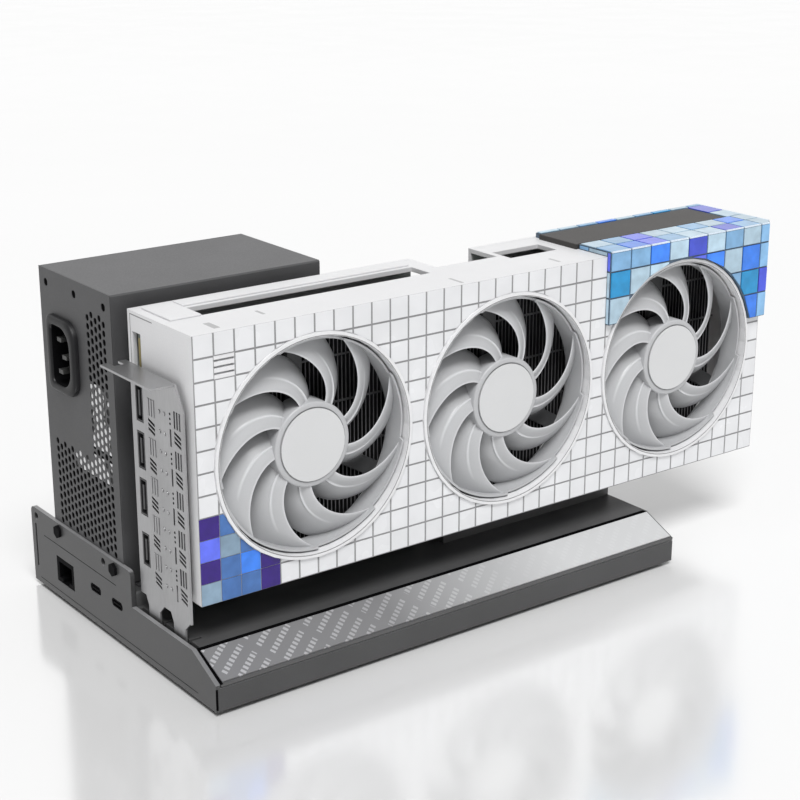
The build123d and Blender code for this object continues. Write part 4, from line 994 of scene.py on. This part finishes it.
def fine_fins():
    """Close upright fins on a base, in the place of the solid's wider ones."""
    low, high = box_of("fin_stack")
    count = int((high.x - low.x - fin_thickness) / fin_pitch)
    corners = []
    for i in range(count + 1):
        x = low.x + i * fin_pitch
        corners.append(((x, low.y, low.z), (x + fin_thickness, high.y - fin_base, high.z)))
    corners.append(((low.x, high.y - fin_base, low.z), (high.x, high.y, high.z)))
    fins = boxes("fine_fins", corners, "fin_black", "fin_black")
    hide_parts("fin_stack")
    middle = fan_middles["left"].z
    ties = [((low.x, low.y - tie_depth / 4, middle + rise - tie_height / 2),
             (high.x, low.y + tie_depth, middle + rise + tie_height / 2)) for rise in tie_rises]
    boxes("fin_ties", ties, "tie_steel", "fin_black")


fine_fins()


# Bracket and ports

def disc_outline(u, v, radius, sides=12):
    turns = [2 * pi * i / sides for i in range(sides)]
    return [(u + radius * cos(turn), v + radius * sin(turn)) for turn in turns]


def bracket_marks():
    """Pressed bars and dots that stand out of the bracket, and small pits in it, drawn as flat discs of
    painted shade.
    """
    face_x = box_of("hdmi_port")[0].x
    raised, pits = [], []
    for unit in range(mark_unit_count):
        top = card_bottom + mark_top - unit * mark_unit_height
        for i in range(mark_bar_count):
            y = face_y + mark_inner_column + i * mark_bar_pitch
            raised.append(square(y, y + mark_bar_width, top - mark_bar_length, top))
            pits.append(disc_outline(face_y + mark_single_column, top - (i + 1) * pit_pitch, pit_radius))
        for y in mark_dot_columns:
            for drop in mark_dot_drops:
                raised.append(disc_outline(face_y + y, top - drop * mark_unit_height, mark_dot_radius))
    on_bracket = on(0, face_x, -1.0)
    plates("bracket_marks", raised, on_bracket, mark_height, "bracket_steel", "bracket_steel",
           bevel=mark_bevel)
    plates("bracket_pits", pits, on_bracket, pit_height, "gap_and_shade_black", "bracket_steel")


def bracket_shade():
    """Dark sheet behind the bracket's slots, and the white corner of the card's side above it."""
    def sheet(name, x, thickness, spot, look, slot):
        y0, y1, z0, z1 = spot
        boxes(name, [((x, face_y + y0, card_bottom + z0), (x + thickness, face_y + y1, card_bottom + z1))],
              look, slot)

    shade_x = box_of("hdmi_port")[0].x + slot_shade_drop
    sheet("bracket_shade", shade_x, slot_shade_thickness, slot_shade_spot, "gap_and_shade_black", "bracket_steel")
    sheet("side_corner", card_left, side_corner_thickness, side_corner_spot, "card_white", "shroud_white")


def port_tongues():
    """Black tongue in the mouth of each display port."""
    corners = []
    for name in ("dp_port_1", "dp_port_2", "dp_port_3", "hdmi_port"):
        low, high = box_of(name)
        middle = (low + high) / 2
        half = (high.z - low.z) / 2 - tongue_margin
        corners.append(((low.x + tongue_inset, middle.y - tongue_half, middle.z - half),
                        (low.x + tongue_depth, middle.y + tongue_half, middle.z + half)))
    boxes("port_tongues", corners, "socket_plastic", "port_steel")


def board_left_side():
    """Bare edge of the card's board, seen in the notch of its left side."""
    low, high = box_of("card_pcb")
    z0, z1 = (card_bottom + rise for rise in board_side_rises)
    boxes("board_left_side", [((low.x - board_side_half, low.y, z0), (low.x + board_side_half, high.y, z1))],
          "board_side", "board_lacquer")


bracket_marks()
bracket_shade()
port_tongues()
board_left_side()


# Supply's inlet panel

def punched(u0, u1, v0, v1, half_u, half_v, place, points, faces):
    """Adds a closed square plate with one oval hole through it."""
    mu, mv = (u0 + u1) / 2, (v0 + v1) / 2
    turns = [atan2(v - mv, u - mu) for u, v in square(u0, u1, v0, v1)]
    turns += [2 * pi * (i + 0.5) / panel_hole_sides - pi for i in range(panel_hole_sides)]
    outer, inner = [], []
    for turn in sorted(turns):
        c, s = cos(turn), sin(turn)
        out = min((u1 - mu) / max(abs(c), 1e-6), (v1 - mv) / max(abs(s), 1e-6))
        near = 1 / hypot(c / half_u, s / half_v)
        outer.append((mu + c * out, mv + s * out))
        inner.append((mu + c * near, mv + s * near))
    rings = ((outer, panel_shade), (outer, panel_sheet), (inner, panel_sheet), (inner, panel_shade))
    skin([[place(u, v, height) for u, v in loop] for loop, height in rings], points, faces, closed=True)


def solid_plate(u0, u1, v0, v1, place, points, faces):
    """Adds a closed plain plate, unless its outline is empty."""
    if min(u1 - u0, v1 - v0) >= panel_least:
        skin([[place(u, v, height) for u, v in square(u0, u1, v0, v1)]
              for height in (panel_shade, panel_sheet)], points, faces)


def inlet_panel():
    """Finely punched sheet over the supply's inlet end, with painted shade and bright inner parts behind its
    holes.
    """
    low, high = box_of("psu_case")
    back = box_of("psu_cover")[1].y
    lap = Vector((0.0, inlet_lap, inlet_lap))
    inlet_low, inlet_high = box_of("mains_inlet")
    inlet_low, inlet_high = inlet_low + lap, inlet_high - lap
    points, faces = [], []
    sheet = (on(0, low.x, -1.0), points, faces)
    step_u, step_v = panel_vent_pitch
    half_u, half_v = panel_vent_size[0] / 2, panel_vent_size[1] / 2
    vent_high = high.z - panel_vent_drop
    start = low.y + panel_vent_edge
    columns = int((back - panel_vent_edge - start) / step_u)
    strip_edge, field_edge, bright_edge = (
        start + count * step_u for count in (panel_strip_columns, columns, panel_bright_columns))
    for i in range(columns):
        u0, u1 = start + i * step_u, start + (i + 1) * step_u
        top = vent_high if i < panel_strip_columns else panel_wide_top
        base = panel_low + i % 2 * step_v / 2
        count = int((top - base) / step_v)
        solid_plate(u0, u1, panel_low, base, *sheet)
        for row in range(count):
            v0 = base + row * step_v
            punched(u0, u1, v0, v0 + step_v, half_u, half_v, *sheet)
        solid_plate(u0, u1, base + count * step_v, top, *sheet)
    for bounds in ((low.y, start, panel_low, vent_high),
                   (field_edge, back, panel_low, panel_wide_top),
                   (strip_edge, back, panel_wide_top, inlet_low.z),
                   (strip_edge, inlet_low.y, inlet_low.z, inlet_high.z),
                   (inlet_high.y, back, inlet_low.z, inlet_high.z),
                   (strip_edge, back, inlet_high.z, vent_high)):
        solid_plate(*bounds, *sheet)
    screw_z = high.z - panel_screw_edge
    hole_low, hole_high = max(screw_z - panel_screw_cell, vent_high), screw_z + panel_screw_edge / 2
    # Spots of painted shade behind the vents and the screw holes
    dark = [(start, field_edge, panel_low, panel_wide_top), (start, strip_edge, panel_wide_top, vent_high)]
    u = low.y
    for spot in (low.y + panel_screw_edge, (low.y + back) / 2, back - panel_screw_edge):
        left, right = spot - panel_screw_cell, spot + panel_screw_cell
        dark.append((left, right, hole_low, hole_high))
        solid_plate(u, left, vent_high, high.z, *sheet)
        solid_plate(left, right, vent_high, hole_low, *sheet)
        punched(left, right, hole_low, hole_high, panel_screw_radius, panel_screw_radius, *sheet)
        solid_plate(left, right, hole_high, high.z, *sheet)
        u = right
    solid_plate(u, back, vent_high, high.z, *sheet)
    piece("psu_vent_sheet", points, faces, "panel_paint", "dock", "psu_paint")
    bright = [(start, strip_edge, *panel_bright_strip), (start, bright_edge, *panel_bright_rows)]
    half = panel_shade / 2
    for name, spots, front, rear, look, slot in (
            ("psu_vent_shade", dark, half, panel_clear, "gap_and_shade_black", "psu_paint"),
            ("psu_inner_parts", bright, panel_shade, half, "inner_silver", "sink_aluminium")):
        boxes(name, [((low.x - front, u0, v0), (low.x - rear, u1, v1)) for u0, u1, v0, v1 in spots],
              look, slot)


def rounded(corners, cut, steps=6):
    """An outline with each corner turned into a short curve."""
    spots = [Vector(corner) for corner in corners]
    curve = []
    for i, spot in enumerate(spots):
        before, after = (spot.lerp(other, min(cut / (other - spot).length, 0.5))
                         for other in (spots[i - 1], spots[(i + 1) % len(spots)]))
        for k in range(steps + 1):
            share = k / steps
            curve.append(before.lerp(spot, share).lerp(spot.lerp(after, share), share))
    return curve


def inlet_outline(middle, half_u, half_v):
    """Six-cornered outline of the inlet, two corners cut on the side of the earth pin."""
    cut_u, cut_v = half_u - inlet_bevel, half_v - inlet_bevel
    corners = [(-cut_u, -half_v), (half_u, -half_v), (half_u, half_v), (-cut_u, half_v), (-half_u, cut_v),
               (-half_u, -cut_v)]
    return rounded([(middle.y + u, middle.z + v) for u, v in corners], inlet_round)


def loft(name, rings, middle, panel_x, look):
    """A closed shape through inlet outlines of given half sizes and heights, flat at both ends."""
    points, faces = [], []
    place = on(0, panel_x, -1.0)
    skin([[place(u, v, height) for u, v in inlet_outline(middle, half_u, half_v)]
          for half_u, half_v, height in rings], points, faces)
    return piece(name, points, faces, look, "dock", "socket_plastic", inlet_crisp)


def inlet_shell():
    """Mains inlet with a rounded flange and mouth, in the place of the plainer solid."""
    low, high = box_of("mains_inlet")
    middle = (low + high) / 2
    panel_x = box_of("psu_case")[0].x
    flange_u, flange_v = (high.y - low.y) / 2, (high.z - low.z) / 2
    body_u, body_v = inlet_body_half
    mouth_u, mouth_v = inlet_mouth_half
    floor_height = inlet_flange - inlet_depth + inlet_floor
    rings = [(body_u, body_v, inlet_flange - inlet_depth - inlet_wall), (body_u, body_v, 0.0)]
    rings.append((flange_u, flange_v, 0.0))
    rings += [(flange_u - inset, flange_v - inset, inlet_flange - drop) for inset, drop in inlet_flange_steps]
    rings += [(mouth_u + out, mouth_v + out, inlet_flange - drop) for out, drop in inlet_mouth_steps]
    rings.append((mouth_u, mouth_v, floor_height))
    shell = loft("inlet_shell", rings, middle, panel_x, "inlet_plastic")
    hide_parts("mains_inlet")
    lip = inlet_flange - inlet_lip
    cup = [(mouth_u - inset, mouth_v - inset, height)
           for inset, height in ((inlet_slack, floor_height + inlet_slack), (inlet_slack, lip),
                                 (inlet_lining, lip), (inlet_lining, floor_height + inlet_lining))]
    loft("inlet_lining", cup, middle, panel_x, "port_black")
    tip = box_of("inlet_pins")[0].x
    half_u, half_v = pin_half
    boxes("pin_tips", [((tip - pin_reach, middle.y + u - half_u, middle.z + v - half_v),
                        (tip, middle.y + u + half_u, middle.z + v + half_v)) for u, v in pin_spots],
          "pin_nickel", "standoff_brass")


inlet_panel()
inlet_shell()


# Dock

def slope_gaps():
    """Dark gaps along the top and the left end of the slope."""
    low, high = box_of("slope_trim")
    front = box_of("base_tray")[0].y
    run = hypot(slope_depth, slope_top - slope_foot)
    rise = (slope_top - slope_foot) / run
    reach = slope_depth / run

    def on_slope(u, v, height):
        return (u, front + v * reach - height * rise, slope_foot + v * rise + height * reach)

    outlines = [square(low.x - slope_gap, high.x, run - slope_gap, run),
                square(low.x - slope_gap, low.x, 0.0, run - slope_gap)]
    plates("slope_gaps", outlines, on_slope, slope_gap_height, "gap_and_shade_black", "dock_plastic")
    back = front + slope_depth
    boxes("deck_gap", [((low.x - slope_gap, back, slope_top),
                        (high.x, back + slope_gap, slope_top + slope_gap_height))],
          "gap_and_shade_black", "dock_plastic")


slope_gaps()


def plate_lines():
    """Two fine pressed lines along the side plate."""
    face_x = box_of("base_tray")[0].x
    boxes("plate_lines", [((face_x - plate_line_rise, y0, z), (face_x, y1, z + plate_line_width))
                          for y0, y1, z in plate_line_runs], "gap_and_shade_black", "dock_paint")


def corner_seam():
    """Dark seam where the side plate's fold meets the front lip."""
    low = box_of("base_tray")[0]
    foot, head = corner_seam_ends
    boxes("corner_seam", [((low.x - seam_rise, low.y - seam_rise, low.z + foot),
                           (low.x + corner_seam_width, low.y + corner_seam_depth, slope_foot - head))],
          "gap_and_shade_black", "dock_paint")


plate_lines()
corner_seam()


# Floor, light and camera

def floor():
    """White glossy table that mirrors the dock softly."""
    mesh = bpy.data.meshes.new("floor")
    outline = square(-floor_half, floor_half, -floor_half, floor_half)
    mesh.from_pydata([(u, v, 0.0) for u, v in outline], [], [[0, 1, 2, 3]])
    made = material("floor", floor_white, sum(floor_roughness) / 2)
    socket(made, "IOR").default_value = floor_ior
    feed(made, "Roughness", mapped(made, noise(made, floor_cloud), *floor_roughness))
    mesh.materials.append(made)
    put("floor", mesh)


def sky():
    """White to the camera and in mirrors, a softer light elsewhere."""
    world = bpy.data.worlds.new("studio")
    bpy.context.scene.world = world
    world.use_nodes = True
    ray = add(world, "LightPath", {}).outputs
    seen = ray["Is Camera Ray"]
    for kind in ("Is Glossy Ray", "Is Transmission Ray"):
        seen = math(world, "MAXIMUM", seen, ray[kind])
    back = world.node_tree.nodes["Background"].inputs
    back["Color"].default_value = (1.0, 1.0, 1.0, 1.0)
    world.node_tree.links.new(mapped(world, seen, sky_light, 1.0, 0.0, 1.0), back["Strength"])


def aim(thing, heading):
    """Turns a lamp or a camera to look along a heading."""
    thing.rotation_euler = Vector(heading).to_track_quat("-Z", "Y").to_euler()


def sun():
    """One soft lamp from above."""
    data = bpy.data.lights.new("sun", "SUN")
    data.energy = sun_light
    data.angle = radians(sun_softness)
    aim(put("sun", data), sun_heading)


def camera():
    """Camera at the photograph's viewing angle."""
    data = bpy.data.cameras.new("camera")
    data.lens = camera_lens
    data.sensor_width = camera_sensor
    thing = put("camera", data)
    thing.location = Vector(camera_place) * MM
    aim(thing, camera_heading)
    bpy.context.scene.camera = thing


floor()
sky()
sun()
camera()
bpy.context.scene.view_settings.view_transform = "Standard"
